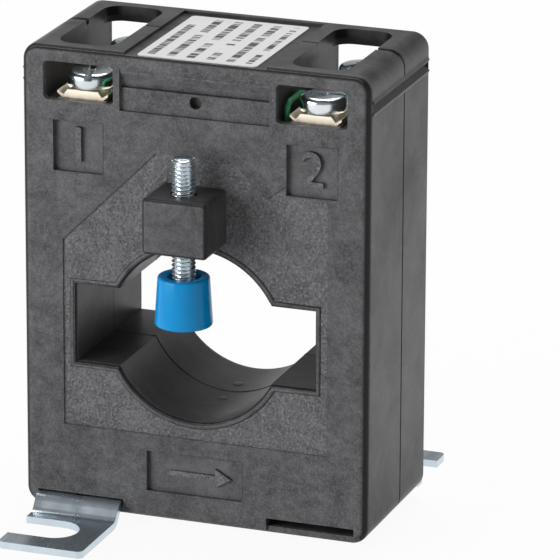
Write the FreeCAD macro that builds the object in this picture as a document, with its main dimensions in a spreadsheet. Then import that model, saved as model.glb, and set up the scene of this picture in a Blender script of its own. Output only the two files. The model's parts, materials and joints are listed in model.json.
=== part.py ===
import FreeCAD, Part
import Sketcher
import math
import os
import re

# Window-type current transformer, millimetres.
# X runs to the right, Y from the front to the rear, Z up.
# The origin is on the mounting surface, below the middle of the casing.

doc = FreeCAD.newDocument("CurrentTransformer")

# Driving sizes
SIZES = {
    # casing
    "casing_width": 60.0,
    "casing_height": 79.4,
    "front_depth": 16.9,
    "rear_depth": 13.3,
    "corner_radius": 2.8,
    "face_round": 1.3,
    "seam_chamfer": 0.25,
    "face_wall": 1.8,
    "side_wall": 1.8,
    "floor_wall": 4.4,
    # primary window
    "window_height": 32.5,
    "slot_width": 41.6,
    "slot_height": 13.3,
    "round_diameter": 29.6,
    "tube_wall": 1.3,
    "window_round": 0.9,
    # terminal chambers
    "terminal_spacing": 40.2,
    "screw_inset": 5.8,
    "chamber_inner": 14.0,
    "chamber_outer": 26.2,
    "chamber_floor": 70.1,
    "window_sill": 70.3,
    "chamber_ceiling": 76.8,
    "window_wall": 1.3,
    "window_corner": 0.8,
    "opening_width": 10.2,
    "opening_corner": 3.0,
    "opening_front": 2.6,
    "opening_rear": 3.2,
    "deck_wall": 2.0,
    "well_wall": 1.1,
    "well_radius": 2.3,
    "well_floor": 1.0,
    "well_clearance": 0.3,
    # terminal bars
    "bar_width": 8.4,
    "bar_thickness": 2.0,
    "bar_end_gap": 0.7,
    "bar_clearance": 0.05,
    # terminal clamps
    "thread_radius": 1.98,
    "thread_clearance": 0.06,
    "seat_gap": 0.03,
    "plate_depth": 7.6,
    "plate_height": 1.35,
    "plate_table": 5.3,
    "plate_valley": 6.7,
    "plate_width": 8.8,
    "valley_height": 0.45,
    "wing_height": 1.1,
    "wing_thickness": 0.4,
    "head_radius": 3.8,
    "head_height": 2.6,
    "head_round": 0.9,
    "shank_below_bar": 3.6,
    "recess_length": 5.2,
    "recess_width": 1.1,
    "recess_depth": 1.3,
    # mouldings on the front face
    "mark_inner": 15.8,
    "mark_size": 8.8,
    "mark_low": 58.3,
    "mark_depth": 0.9,
    "primary_mark_width": 16.9,
    "primary_mark_height": 7.1,
    "primary_mark_low": 4.8,
    "primary_mark_depth": 0.8,
    "strip_width": 25.8,
    "strip_low": 69.6,
    "strip_ledge": 73.4,
    "strip_high": 76.7,
    "strip_depth": 0.7,
    "ledge_depth": 1.3,
    "strip_hole_radius": 1.05,
    "strip_hole_height": 72.0,
    "field_depth": 0.25,
    "field_side": 23.0,
    "field_low": 14.7,
    "field_shoulder": 47.0,
    "field_high": 63.0,
    "field_top_half": 6.7,
    "field_notch": 12.4,
    # label on the top
    "label_recess_width": 24.6,
    "label_recess_length": 27.9,
    "label_recess_depth": 0.5,
    "label_width": 20.6,
    "label_front": 1.0,
    "label_length": 25.6,
    "label_thickness": 0.15,
    "label_corner": 0.8,
    # latch notch in the top at the seam
    "notch_width": 1.2,
    "notch_depth": 0.9,
    # cover rails on the side walls
    "rail_height": 74.0,
    "rail_pitch": 1.8,
    "rail_width": 1.2,
    "rail_rise": 0.25,
    "rail_notch": 0.35,
    # clamp for the primary conductor
    "boss_width": 11.2,
    "boss_low": 48.8,
    "boss_height": 9.5,
    "boss_depth": 9.2,
    "boss_round": 0.8,
    "screw_reach": 4.6,
    "screw_hole_clearance": 0.2,
    "clamp_screw_top": 64.5,
    "clamp_slot_width": 0.8,
    "clamp_slot_depth": 0.9,
    "nut_size": 7.0,
    "nut_height": 3.2,
    "nut_low": 52.0,
    "nut_clearance": 0.1,
    "cap_low": 36.3,
    "cap_height": 8.2,
    "cap_top_radius": 4.25,
    "cap_bottom_radius": 4.8,
    "cap_recess_radius": 2.7,
    "cap_recess_depth": 2.2,
    "cap_sole": 1.6,
    "cap_round": 0.35,
    "cap_chamfer": 0.35,
    # feet
    "foot_thickness": 1.2,
    "foot_width": 14.8,
    "foot_centre": 20.2,
    "foot_drop": 2.8,
    "foot_reach": 18.0,
    "foot_tongue": 11.0,
    "foot_step_start": 0.5,
    "foot_step_run": 2.0,
    "foot_bend": 1.6,
    "foot_corner": 1.0,
    "foot_slot_width": 8.0,
    "foot_slot_place": 9.6,
    "foot_slot_end": 20.8,
    "pocket_width": 15.2,
    "pocket_floor": 1.3,
    "pocket_clearance": 0.2,
    "pocket_end_gap": 0.6,
    "lip_setback": 0.4,
    # core and windings
    "core_depth": 20.0,
    "core_bore_gap": 0.25,
    "core_build": 2.2,
    "insulation_build": 0.2,
    "winding_build": 0.6,
    "wrap_build": 0.15,
    "wrap_round": 0.4,
    # leads from the winding to the terminal bars
    "lead_radius": 0.5,
    "lead_place": 14.75,
    "lead_hole_radius": 0.7,
    "lead_inset": 3.4,
    "lead_top": 72.9,
    "lead_landing": 12.6,
    "lead_bend": 1.3,
}

# Places worked out from the driving sizes
PLACES = {
    "casing_depth": "front_depth + rear_depth",
    "front_face": "-casing_depth / 2",
    "rear_face": "casing_depth / 2",
    "seam": "front_face + front_depth",
    "base": "foot_drop - pocket_floor",
    "top": "base + casing_height",
    "half_width": "casing_width / 2",
    "window_z": "base + window_height",
    "slot_half": "slot_width / 2",
    "slot_rise": "slot_height / 2",
    "round_radius": "round_diameter / 2",
    "terminal_x": "terminal_spacing / 2",
    "front_screw_y": "front_face + screw_inset",
    "rear_screw_y": "rear_face - screw_inset",
    "bar_top": "base + window_sill",
    "channel_floor": "bar_top - bar_thickness",
    "channel_half": "bar_width / 2 + bar_clearance",
    "deck_low": "channel_floor - deck_wall",
    "well_depth": "shank_below_bar - bar_thickness + well_clearance",
    "clamp_y": "front_face - screw_reach",
    "tapped_radius": "thread_radius + thread_clearance",
    "bar_length": "casing_depth - 2 * window_wall - 2 * bar_end_gap",
    "skin_build": "insulation_build + winding_build + wrap_build",
    "tube_reach": "sqrt((slot_half + tube_wall) ^ 2 + (slot_rise + tube_wall) ^ 2)",
    "core_inner": "tube_reach + core_bore_gap + skin_build",
    "core_outer": "core_inner + core_build",
    "field_diagonal": "field_side - (field_high - field_shoulder) - field_top_half",
}

sheet = doc.addObject("Spreadsheet::Sheet", "Sizes")
for row, (name, number) in enumerate(SIZES.items(), 1):
    sheet.set(f"A{row}", name)
    sheet.set(f"B{row}", str(number))
    sheet.setAlias(f"B{row}", name)
doc.recompute()


def linked(text):
    """The expression with every size name tied to its cell of the sheet."""
    def swap(match):
        word = match.group(0)
        if word in PLACES:
            return f"({linked(PLACES[word])})"
        if word in SIZES:
            return f"Sizes.{word}"
        return word
    return re.sub(r"[a-z]\w*", swap, str(text))


def value(text):
    """The number that an expression has now."""
    return float(sheet.evalExpression(linked(text)))


def vector(x, y, z):
    return FreeCAD.Vector(value(x), value(y), value(z))


def new_body(name):
    body = doc.addObject("PartDesign::Body", name)
    body.Label = name
    return body


def place(body, x="0", y="0", z="0"):
    for axis, text in (("x", x), ("y", y), ("z", z)):
        body.setExpression(f"Placement.Base.{axis}", linked(text))


# Sketch helpers


def new_sketch(body, role, name, distance="0", shift_x="0", shift_y="0"):
    """A sketch on an origin plane, moved along the plane's normal by distance."""
    plane = next(item for item in body.Origin.OriginFeatures if item.Role == role)
    sketch = body.newObject("Sketcher::SketchObject", name)
    sketch.AttachmentSupport = [(plane, "")]
    sketch.MapMode = "FlatFace"
    for axis, text in (("x", shift_x), ("y", shift_y), ("z", distance)):
        sketch.setExpression(f"AttachmentOffset.Base.{axis}", linked(text))
    return sketch


def upright(body, name, y):
    """A sketch in X and Z at the depth y: its normal points to the front."""
    return new_sketch(body, "XZ_Plane", name, f"-({y})")


def level(body, name, z):
    """A sketch in X and Y at the height z: its normal points up."""
    return new_sketch(body, "XY_Plane", name, z)


def sideways(body, name, shift_z="0"):
    """A sketch in Y and Z in the middle plane: its normal points to the right."""
    return new_sketch(body, "YZ_Plane", name, "0", "0", shift_z)


def dimension(sketch, kind, geometry, point, text):
    """A horizontal or vertical distance from the sketch's origin to a point."""
    number = value(text)
    index = sketch.addConstraint(Sketcher.Constraint(kind, -1, 1, geometry, point, number))
    sketch.setExpression(f"Constraints[{index}]", linked(text))


def polygon(sketch, corners):
    """A closed outline of straight lines through the corners."""
    points = [vector(x, y, "0") for x, y in corners]
    count = len(points)
    lines = []
    for index in range(count):
        lines.append(sketch.addGeometry(Part.LineSegment(points[index], points[(index + 1) % count])))
    for index in range(count):
        sketch.addConstraint(Sketcher.Constraint("Coincident", lines[index - 1], 2, lines[index], 1))
    for line, (x, y) in zip(lines, corners):
        dimension(sketch, "DistanceX", line, 1, x)
        dimension(sketch, "DistanceY", line, 1, y)


def rectangle(sketch, left, right, low, high):
    polygon(sketch, [(left, low), (right, low), (right, high), (left, high)])


def rounded_rectangle(sketch, left, right, low, high, radius):
    """A rectangle with four equal round corners."""
    x0, x1, y0, y1, r = (value(text) for text in (left, right, low, high, radius))
    spots = [
        ((x0 + r, y0), (x1 - r, y0)),
        ((x1, y0 + r), (x1, y1 - r)),
        ((x1 - r, y1), (x0 + r, y1)),
        ((x0, y1 - r), (x0, y0 + r)),
    ]
    lines = []
    for start, end in spots:
        segment = Part.LineSegment(FreeCAD.Vector(*start, 0), FreeCAD.Vector(*end, 0))
        lines.append(sketch.addGeometry(segment))
    centres = [(x1 - r, y0 + r), (x1 - r, y1 - r), (x0 + r, y1 - r), (x0 + r, y0 + r)]
    arcs = []
    for index, centre in enumerate(centres):
        circle = Part.Circle(FreeCAD.Vector(*centre, 0), FreeCAD.Vector(0, 0, 1), r)
        first = (index - 1) * math.pi / 2
        arcs.append(sketch.addGeometry(Part.ArcOfCircle(circle, first, first + math.pi / 2)))
    for index in range(4):
        sketch.addConstraint(Sketcher.Constraint("Tangent", lines[index], 2, arcs[index], 1))
        sketch.addConstraint(Sketcher.Constraint("Tangent", arcs[index], 2, lines[(index + 1) % 4], 1))
    for line, kind in zip(lines, ("Horizontal", "Vertical", "Horizontal", "Vertical")):
        sketch.addConstraint(Sketcher.Constraint(kind, line))
    index = sketch.addConstraint(Sketcher.Constraint("Radius", arcs[0], r))
    sketch.setExpression(f"Constraints[{index}]", linked(radius))
    for arc in arcs[1:]:
        sketch.addConstraint(Sketcher.Constraint("Equal", arcs[0], arc))
    dimension(sketch, "DistanceY", lines[0], 1, low)
    dimension(sketch, "DistanceX", lines[1], 1, right)
    dimension(sketch, "DistanceY", lines[2], 1, high)
    dimension(sketch, "DistanceX", lines[3], 1, left)


def round_outline(sketch, x, y, radius):
    centre = vector(x, y, "0")
    circle = sketch.addGeometry(Part.Circle(centre, FreeCAD.Vector(0, 0, 1), value(radius)))
    index = sketch.addConstraint(Sketcher.Constraint("Radius", circle, value(radius)))
    sketch.setExpression(f"Constraints[{index}]", linked(radius))
    dimension(sketch, "DistanceX", circle, 3, x)
    dimension(sketch, "DistanceY", circle, 3, y)


# Feature helpers


def pad(body, sketch, name, length, backwards=False, middle=False):
    feature = body.newObject("PartDesign::Pad", name)
    feature.Profile = sketch
    feature.setExpression("Length", linked(length))
    feature.Reversed = backwards
    feature.Midplane = middle
    doc.recompute()
    return feature


def pocket(body, sketch, name, length=None, backwards=False, middle=False):
    """A cut against the sketch's normal, or along it when backwards, through all with no length."""
    before = body.Shape.Volume
    feature = body.newObject("PartDesign::Pocket", name)
    feature.Profile = sketch
    if length is None:
        feature.Type = 1
    else:
        feature.setExpression("Length", linked(length))
    feature.Reversed = backwards
    feature.Midplane = middle
    doc.recompute()
    if not body.Shape.Volume < before - 1e-4:
        raise ValueError(f"{name} cuts nothing from {body.Label}")
    return feature


def edge_names(feature, wanted):
    edges = feature.Shape.Edges
    return [f"Edge{number}" for number, edge in enumerate(edges, 1) if wanted(edge)]


def soften(body, kind, base, name, size, wanted):
    """A fillet or chamfer on the edges of the base feature that are wanted."""
    feature = body.newObject(kind, name)
    feature.Base = (base, edge_names(base, wanted))
    feature.setExpression("Radius" if kind.endswith("Fillet") else "Size", linked(size))
    doc.recompute()
    return feature


def lies_at(edge, axis, number):
    box = edge.BoundBox
    low = getattr(box, f"{axis}Min")
    high = getattr(box, f"{axis}Max")
    return abs(low - number) < 0.01 and abs(high - number) < 0.01


# Half shells of the casing


def shell_blank(body, forwards, depth, outer_face):
    """The outer block of one half, rounded on its face and chamfered at the seam."""
    sketch = upright(body, f"{body.Label}_outline", "seam")
    rounded_rectangle(sketch, "-half_width", "half_width", "base", "top", "corner_radius")
    block = pad(body, sketch, f"{body.Label}_block", depth, backwards=not forwards)
    face = value(outer_face)
    block = soften(body, "PartDesign::Fillet", block, f"{body.Label}_face_round", "face_round",
                   lambda edge: lies_at(edge, "Y", face))
    seam = value("seam")
    soften(body, "PartDesign::Chamfer", block, f"{body.Label}_seam_edge", "seam_chamfer",
           lambda edge: lies_at(edge, "Y", seam))


def shell_rails(body, forwards, depth):
    """Two ridges and a notch along each side wall, which hold the terminal cover."""
    run = f"{depth} - face_round"
    z = "base + rail_height"
    for side in ("-1", "1"):
        tag = "left" if side == "-1" else "right"
        wall = f"{side} * half_width"
        crest = f"{side} * (half_width + rail_rise)"
        inside = f"{side} * (half_width - rail_notch)"
        for offset in ("-1", "1"):
            peak = f"{z} + ({offset}) * rail_pitch / 2"
            sketch = upright(body, f"{body.Label}_rail_{tag}_{offset}", "seam")
            polygon(sketch, [
                (inside, f"{peak} - rail_width / 2"),
                (wall, f"{peak} - rail_width / 2"),
                (crest, peak),
                (wall, f"{peak} + rail_width / 2"),
                (inside, f"{peak} + rail_width / 2"),
            ])
            pad(body, sketch, f"{body.Label}_ridge_{tag}_{offset}", run, backwards=not forwards)
        sketch = upright(body, f"{body.Label}_notch_{tag}", "seam")
        polygon(sketch, [
            (crest, f"{z} - rail_pitch / 2"),
            (crest, f"{z} + rail_pitch / 2"),
            (inside, z),
        ])
        pocket(body, sketch, f"{body.Label}_cover_notch_{tag}", run, backwards=forwards)


def shell_cavity(body, forwards, depth):
    """The space for the core below the terminal deck, and the hollow between the chambers."""
    sketch = upright(body, f"{body.Label}_core_space", "seam")
    rounded_rectangle(sketch, "-(half_width - side_wall)", "half_width - side_wall",
                      "base + floor_wall", "deck_low", "corner_radius - side_wall / 2")
    pocket(body, sketch, f"{body.Label}_cavity", f"{depth} - face_wall", backwards=forwards)
    sketch = upright(body, f"{body.Label}_middle_space", "seam")
    rectangle(sketch, "-(chamber_inner - side_wall)", "chamber_inner - side_wall",
              "deck_low - deck_wall / 2", "top - label_recess_depth - side_wall")
    pocket(body, sketch, f"{body.Label}_middle", f"{depth} - face_wall - ledge_depth", backwards=forwards)


def shell_window(body, forwards, depth):
    """The tube around the primary window: a flat slot with a round hole across it."""
    run = f"{depth} - face_wall / 2"
    sketch = upright(body, f"{body.Label}_slot_wall", "seam")
    rounded_rectangle(sketch, "-(slot_half + tube_wall)", "slot_half + tube_wall",
                      "window_z - slot_rise - tube_wall", "window_z + slot_rise + tube_wall", "tube_wall")
    pad(body, sketch, f"{body.Label}_slot_tube", run, backwards=not forwards)
    sketch = upright(body, f"{body.Label}_round_wall", "seam")
    round_outline(sketch, "0", "window_z", "round_radius + tube_wall")
    pad(body, sketch, f"{body.Label}_round_tube", run, backwards=not forwards)
    sketch = upright(body, f"{body.Label}_slot_outline", "seam")
    rectangle(sketch, "-slot_half", "slot_half", "window_z - slot_rise", "window_z + slot_rise")
    pocket(body, sketch, f"{body.Label}_slot", depth, backwards=forwards)
    sketch = upright(body, f"{body.Label}_round_outline", "seam")
    round_outline(sketch, "0", "window_z", "round_radius")
    return pocket(body, sketch, f"{body.Label}_round", depth, backwards=forwards)


def window_edge(edge, face):
    """True for the edges of the primary window on the given face."""
    box = edge.BoundBox
    reach = value("slot_half") + 0.01
    middle = value("window_z")
    rise = value("round_radius") + 0.01
    inside = box.XMin > -reach and box.XMax < reach
    return inside and box.ZMin > middle - rise and box.ZMax < middle + rise and lies_at(edge, "Y", face)


def shell_terminals(body, forwards, depth, face, screw_y):
    """Two chambers with a channel for the bar, a window, a top opening and a screw well each."""
    for side in ("-1", "1"):
        tag = "left" if side == "-1" else "right"
        inner = f"{side} * chamber_inner"
        outer = f"{side} * chamber_outer"
        near = f"{side} * (terminal_x - channel_half)"
        far = f"{side} * (terminal_x + channel_half)"
        centre = f"{side} * terminal_x"
        sketch = level(body, f"{body.Label}_well_{tag}", "deck_low + deck_wall / 2")
        round_outline(sketch, centre, screw_y, "well_radius + well_wall")
        pad(body, sketch, f"{body.Label}_well_wall_{tag}",
            "well_depth + well_floor - deck_wall / 2", backwards=True)
        sketch = upright(body, f"{body.Label}_chamber_outline_{tag}", "seam")
        polygon(sketch, [
            (inner, "base + chamber_floor"),
            (near, "base + chamber_floor"),
            (near, "channel_floor"),
            (far, "channel_floor"),
            (far, "base + chamber_floor"),
            (outer, "base + chamber_floor"),
            (outer, "base + chamber_ceiling"),
            (inner, "base + chamber_ceiling"),
        ])
        pocket(body, sketch, f"{body.Label}_chamber_{tag}", f"{depth} - window_wall", backwards=forwards)
        left = inner if side == "1" else outer
        right = outer if side == "1" else inner
        sketch = upright(body, f"{body.Label}_window_outline_{tag}", face)
        rounded_rectangle(sketch, left, right, "base + window_sill", "base + chamber_ceiling", "window_corner")
        pocket(body, sketch, f"{body.Label}_window_{tag}", "window_wall * 1.5", backwards=not forwards)
        sketch = level(body, f"{body.Label}_opening_outline_{tag}", "top")
        rounded_rectangle(sketch, f"{centre} - opening_width / 2", f"{centre} + opening_width / 2",
                          "front_face + opening_front", "rear_face - opening_rear", "opening_corner")
        pocket(body, sketch, f"{body.Label}_opening_{tag}", "top - base - chamber_ceiling + window_wall")
        sketch = level(body, f"{body.Label}_well_outline_{tag}", "channel_floor")
        round_outline(sketch, centre, screw_y, "well_radius")
        pocket(body, sketch, f"{body.Label}_screw_well_{tag}", "well_depth")


def shell_feet(body, forwards, face):
    """A flat pocket for a foot in each bottom corner, with its lip set back from the face."""
    for side in ("-1", "1"):
        tag = "left" if side == "-1" else "right"
        left = f"{side} * foot_centre - pocket_width / 2"
        right = f"{side} * foot_centre + pocket_width / 2"
        sketch = upright(body, f"{body.Label}_pocket_outline_{tag}", face)
        rectangle(sketch, left, right, "base + pocket_floor",
                  "base + pocket_floor + foot_thickness + pocket_clearance")
        pocket(body, sketch, f"{body.Label}_pocket_{tag}", "foot_tongue + pocket_end_gap",
               backwards=not forwards)
        sketch = upright(body, f"{body.Label}_lip_outline_{tag}", face)
        rectangle(sketch, left, right, "base - pocket_clearance", "base + pocket_floor + pocket_clearance")
        pocket(body, sketch, f"{body.Label}_lip_{tag}", "lip_setback", backwards=not forwards)


def shell_top(body):
    """The label's recess and the latch notches beside the seam."""
    sketch = level(body, f"{body.Label}_label_outline", "top")
    rectangle(sketch, "-label_recess_width / 2", "label_recess_width / 2",
              "front_face - face_round", "front_face + label_recess_length")
    pocket(body, sketch, f"{body.Label}_label_recess", "label_recess_depth")
    for side in ("-1", "1"):
        tag = "left" if side == "-1" else "right"
        sketch = level(body, f"{body.Label}_latch_outline_{tag}", "top")
        edges = [f"{side} * (terminal_x + opening_width / 2 - window_wall)", f"{side} * (half_width + rail_rise)"]
        if side == "-1":
            edges.reverse()
        rectangle(sketch, edges[0], edges[1], "seam - notch_width / 2", "seam + notch_width / 2")
        pocket(body, sketch, f"{body.Label}_latch_notch_{tag}", "notch_depth")


def shell(name, forwards):
    """One moulded half of the casing, from the seam forwards or backwards."""
    body = new_body(name)
    depth = "front_depth" if forwards else "rear_depth"
    face = "front_face" if forwards else "rear_face"
    shell_blank(body, forwards, depth, face)
    shell_rails(body, forwards, depth)
    shell_cavity(body, forwards, depth)
    windowed = shell_window(body, forwards, depth)
    face_number = value(face)
    soften(body, "PartDesign::Fillet", windowed, f"{name}_window_round", "window_round",
           lambda edge: window_edge(edge, face_number))
    shell_terminals(body, forwards, depth, face, "front_screw_y" if forwards else "rear_screw_y")
    shell_feet(body, forwards, face)
    shell_top(body)
    return body


def front_recesses(body):
    """The shallow field around the window, the squares, the frame and the strip for marks."""
    sketch = upright(body, "field_outline", "front_face")
    polygon(sketch, [
        ("-field_side", "base + field_low"),
        ("field_side", "base + field_low"),
        ("field_side", "base + mark_low"),
        ("mark_inner", "base + mark_low"),
        ("mark_inner", "base + mark_low + (mark_inner - field_notch) / 2"),
        ("field_notch", "base + field_high + field_top_half - field_notch"),
        ("field_top_half", "base + field_high"),
        ("-field_top_half", "base + field_high"),
        ("-(field_top_half + field_high - field_shoulder)", "base + field_shoulder"),
        ("-field_side", "base + field_shoulder - field_diagonal"),
    ])
    pocket(body, sketch, "field", "field_depth", backwards=False)
    for side in ("-1", "1"):
        tag = "left" if side == "-1" else "right"
        sketch = upright(body, f"mark_outline_{tag}", "front_face")
        middle = f"{side} * (mark_inner + mark_size / 2)"
        rectangle(sketch, f"{middle} - mark_size / 2", f"{middle} + mark_size / 2",
                  "base + mark_low", "base + mark_low + mark_size")
        pocket(body, sketch, f"mark_recess_{tag}", "mark_depth")
    sketch = upright(body, "primary_mark_outline", "front_face")
    rectangle(sketch, "-primary_mark_width / 2", "primary_mark_width / 2",
              "base + primary_mark_low", "base + primary_mark_low + primary_mark_height")
    pocket(body, sketch, "primary_mark_recess", "primary_mark_depth")
    sketch = upright(body, "strip_outline", "front_face")
    rectangle(sketch, "-strip_width / 2", "strip_width / 2", "base + strip_low", "base + strip_ledge")
    pocket(body, sketch, "strip_recess", "strip_depth")
    sketch = sideways(body, "strip_ramp_outline")
    polygon(sketch, [
        ("front_face - face_round", "base + strip_ledge"),
        ("front_face + ledge_depth", "base + strip_ledge"),
        ("front_face", "base + strip_high"),
        ("front_face - face_round", "base + strip_high"),
    ])
    pocket(body, sketch, "strip_ramp", "strip_width", middle=True)
    sketch = upright(body, "strip_hole_outline", "front_face")
    round_outline(sketch, "0", "base + strip_hole_height", "strip_hole_radius")
    pocket(body, sketch, "strip_hole", "strip_depth + ledge_depth")


def clamp_boss(body):
    """The block on the front face that carries the clamp's nut and guides its screw."""
    sketch = upright(body, "boss_outline", "front_face + face_wall / 2")
    rectangle(sketch, "-boss_width / 2", "boss_width / 2", "base + boss_low", "base + boss_low + boss_height")
    boss = pad(body, sketch, "boss", "boss_depth + face_wall / 2")
    front = value("front_face - boss_depth")
    reach = value("front_face") - 0.01
    half = value("boss_width / 2")

    def outer_edge(edge):
        box = edge.BoundBox
        across = max(abs(box.XMin), abs(box.XMax)) < half + 0.01
        return across and box.YMin < reach and box.YMin < front + 0.01

    soften(body, "PartDesign::Fillet", boss, "boss_edges", "boss_round", outer_edge)
    sketch = level(body, "boss_hole_outline", "base + boss_low + boss_height")
    round_outline(sketch, "0", "clamp_y", "thread_radius + screw_hole_clearance")
    pocket(body, sketch, "boss_hole", "boss_height")
    sketch = level(body, "nut_seat_outline", "base + nut_low + nut_height + nut_clearance")
    reach_text = "nut_size / 2 + nut_clearance"
    rectangle(sketch, f"-({reach_text})", reach_text, f"clamp_y - ({reach_text})", f"clamp_y + {reach_text}")
    pocket(body, sketch, "nut_seat", "nut_height + 2 * nut_clearance")


def lead_holes(body):
    """A hole through the deck beside each bar for the lead from the winding."""
    for side in ("-1", "1"):
        tag = "left" if side == "-1" else "right"
        sketch = level(body, f"lead_outline_{tag}", "base + chamber_floor")
        round_outline(sketch, f"{side} * lead_place", "front_face + lead_inset", "lead_hole_radius")
        pocket(body, sketch, f"lead_hole_{tag}", "base + chamber_floor - deck_low + deck_wall / 2")


front_shell = shell("front_shell", True)
front_recesses(front_shell)
clamp_boss(front_shell)
lead_holes(front_shell)
rear_shell = shell("rear_shell", False)


# Core and windings


def ring(name, inner, outer, half_depth, shell_build=None):
    """A ring about the window's axis: solid, or a closed skin of the given build."""
    body = new_body(name)
    sketch = sideways(body, f"{name}_section", "window_z")
    rectangle(sketch, f"-({half_depth})", half_depth, inner, outer)
    if shell_build is not None:
        rectangle(sketch, f"-({half_depth}) + {shell_build}", f"{half_depth} - ({shell_build})",
                  f"{inner} + {shell_build}", f"{outer} - ({shell_build})")
    turned = body.newObject("PartDesign::Revolution", f"{name}_turned")
    turned.Profile = sketch
    turned.ReferenceAxis = (sketch, ["H_Axis"])
    turned.Angle = 360
    doc.recompute()
    return body


ring("core", "core_inner", "core_outer", "core_depth / 2")
layers = [
    ("core_insulation", "insulation_build"),
    ("secondary_winding", "winding_build"),
    ("winding_wrap", "wrap_build"),
]
reach = "0"
for layer, build in layers:
    reach = f"{reach} + {build}"
    ring(layer, f"core_inner - ({reach})", f"core_outer + {reach}", f"core_depth / 2 + {reach}", build)


# Terminals


def terminal_bar(name, side):
    """A flat bar with a tapped hole under each of its two screws."""
    body = new_body(name)
    sketch = level(body, f"{name}_outline", "-bar_thickness")
    rectangle(sketch, "-bar_width / 2", "bar_width / 2", "-bar_length / 2", "bar_length / 2")
    pad(body, sketch, f"{name}_bar", "bar_thickness")
    sketch = level(body, f"{name}_hole_outline", "0")
    for y in ("front_screw_y", "rear_screw_y"):
        round_outline(sketch, "0", y, "tapped_radius")
    pocket(body, sketch, f"{name}_holes")
    place(body, f"{side} * terminal_x", "0", "bar_top")


def clamp_plate(name, side, screw_y):
    """A pressed plate: a raised table under the head, a valley and an upturned wing on each side."""
    body = new_body(name)
    sketch = upright(body, f"{name}_profile", "-plate_depth / 2")
    outline = [
        ("plate_valley / 2 + wing_thickness / 2", "0"),
        ("plate_width / 2", "wing_height - wing_thickness"),
        ("plate_width / 2", "wing_height"),
        ("plate_valley / 2", "valley_height"),
        ("plate_table / 2", "plate_height"),
    ]
    mirrored = [(f"-({x})", z) for x, z in reversed(outline)]
    polygon(sketch, outline + mirrored)
    pad(body, sketch, f"{name}_plate", "plate_depth", backwards=True)
    sketch = level(body, f"{name}_hole_outline", "plate_height")
    round_outline(sketch, "0", "0", "tapped_radius")
    pocket(body, sketch, f"{name}_hole")
    place(body, f"{side} * terminal_x", screw_y, "bar_top + seat_gap")


def terminal_screw(name, side, screw_y):
    """A pan-head screw with a cross recess, drawn with its head's underside at zero.

    Two bevels along the chords of the crown's round edge keep its facets few.
    """
    body = new_body(name)
    reach_down = "plate_height + 2 * seat_gap + shank_below_bar"
    bevel = "head_round * (1 - sqrt(0.5))"
    sketch = new_sketch(body, "XZ_Plane", f"{name}_section")
    polygon(sketch, [
        ("0", f"-({reach_down})"),
        ("thread_radius - thread_radius / 4", f"-({reach_down})"),
        ("thread_radius", f"-({reach_down}) + thread_radius / 4"),
        ("thread_radius", "0"),
        ("head_radius", "0"),
        ("head_radius", "head_height - head_round"),
        (f"head_radius - {bevel}", f"head_height - {bevel}"),
        ("head_radius - head_round", "head_height"),
        ("0", "head_height"),
    ])
    turned = body.newObject("PartDesign::Revolution", f"{name}_turned")
    turned.Profile = sketch
    turned.ReferenceAxis = (sketch, ["V_Axis"])
    turned.Angle = 360
    doc.recompute()
    for length, width, tag in (("recess_length", "recess_width", "long"),
                               ("recess_width", "recess_length", "short")):
        sketch = level(body, f"{name}_{tag}_outline", "head_height")
        rectangle(sketch, f"-{length} / 2", f"{length} / 2", f"-{width} / 2", f"{width} / 2")
        pocket(body, sketch, f"{name}_{tag}_slot", "recess_depth")
    place(body, f"{side} * terminal_x", screw_y, "bar_top + plate_height + 2 * seat_gap")


for side, hand in (("-1", "left"), ("1", "right")):
    terminal_bar(f"terminal_bar_{hand}", side)
    for screw_y, end in (("front_screw_y", "front"), ("rear_screw_y", "rear")):
        clamp_plate(f"clamp_plate_{hand}_{end}", side, screw_y)
        terminal_screw(f"terminal_screw_{hand}_{end}", side, screw_y)


def lead(name, side):
    """A sleeved wire from the winding's front, up through the deck and over to its terminal bar."""
    x = f"{side} * lead_place"
    over = f"{side} * (terminal_x - bar_width / 4)"
    winding_top = "window_z + sqrt((core_outer + skin_build) ^ 2 - lead_place ^ 2)"
    well_y = "front_face + lead_inset"
    points = [
        vector(x, well_y, f"{winding_top} - core_build"),
        vector(x, well_y, "base + lead_top"),
        vector(x, "front_face + lead_landing - 2 * lead_bend", "base + lead_top"),
        vector(over, "front_face + lead_landing", "bar_top + lead_radius + seat_gap"),
        vector(over, "front_face + lead_landing + 3 * lead_bend", "bar_top + lead_radius + seat_gap"),
    ]
    body = doc.addObject("Part::Feature", name)
    body.Label = name
    body.Shape = bent_tube(points, value("lead_radius"), value("lead_bend"))


def bent_tube(points, radius, bend):
    """A round tube along straight runs that are joined by tangent arcs of one bend radius."""
    edges = []
    start = points[0]
    for before, corner, after in zip(points, points[1:], points[2:]):
        inward = (corner - before).normalize()
        outward = (after - corner).normalize()
        turn = inward.getAngle(outward)
        room = bend * math.tan(turn / 2)
        first = corner - inward * room
        last = corner + outward * room
        bisector = (outward - inward).normalize()
        centre = corner + bisector * (bend / math.cos(turn / 2))
        middle = centre - bisector * bend
        edges.append(Part.LineSegment(start, first).toShape())
        edges.append(Part.Arc(first, middle, last).toShape())
        start = last
    edges.append(Part.LineSegment(start, points[-1]).toShape())
    spine = Part.Wire(edges)
    heading = points[1] - points[0]
    section = Part.Wire(Part.Circle(points[0], heading, radius).toShape())
    return spine.makePipeShell([section], True, False)


lead("lead_left", "-1")
lead("lead_right", "1")


# Clamp for the primary conductor


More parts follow.
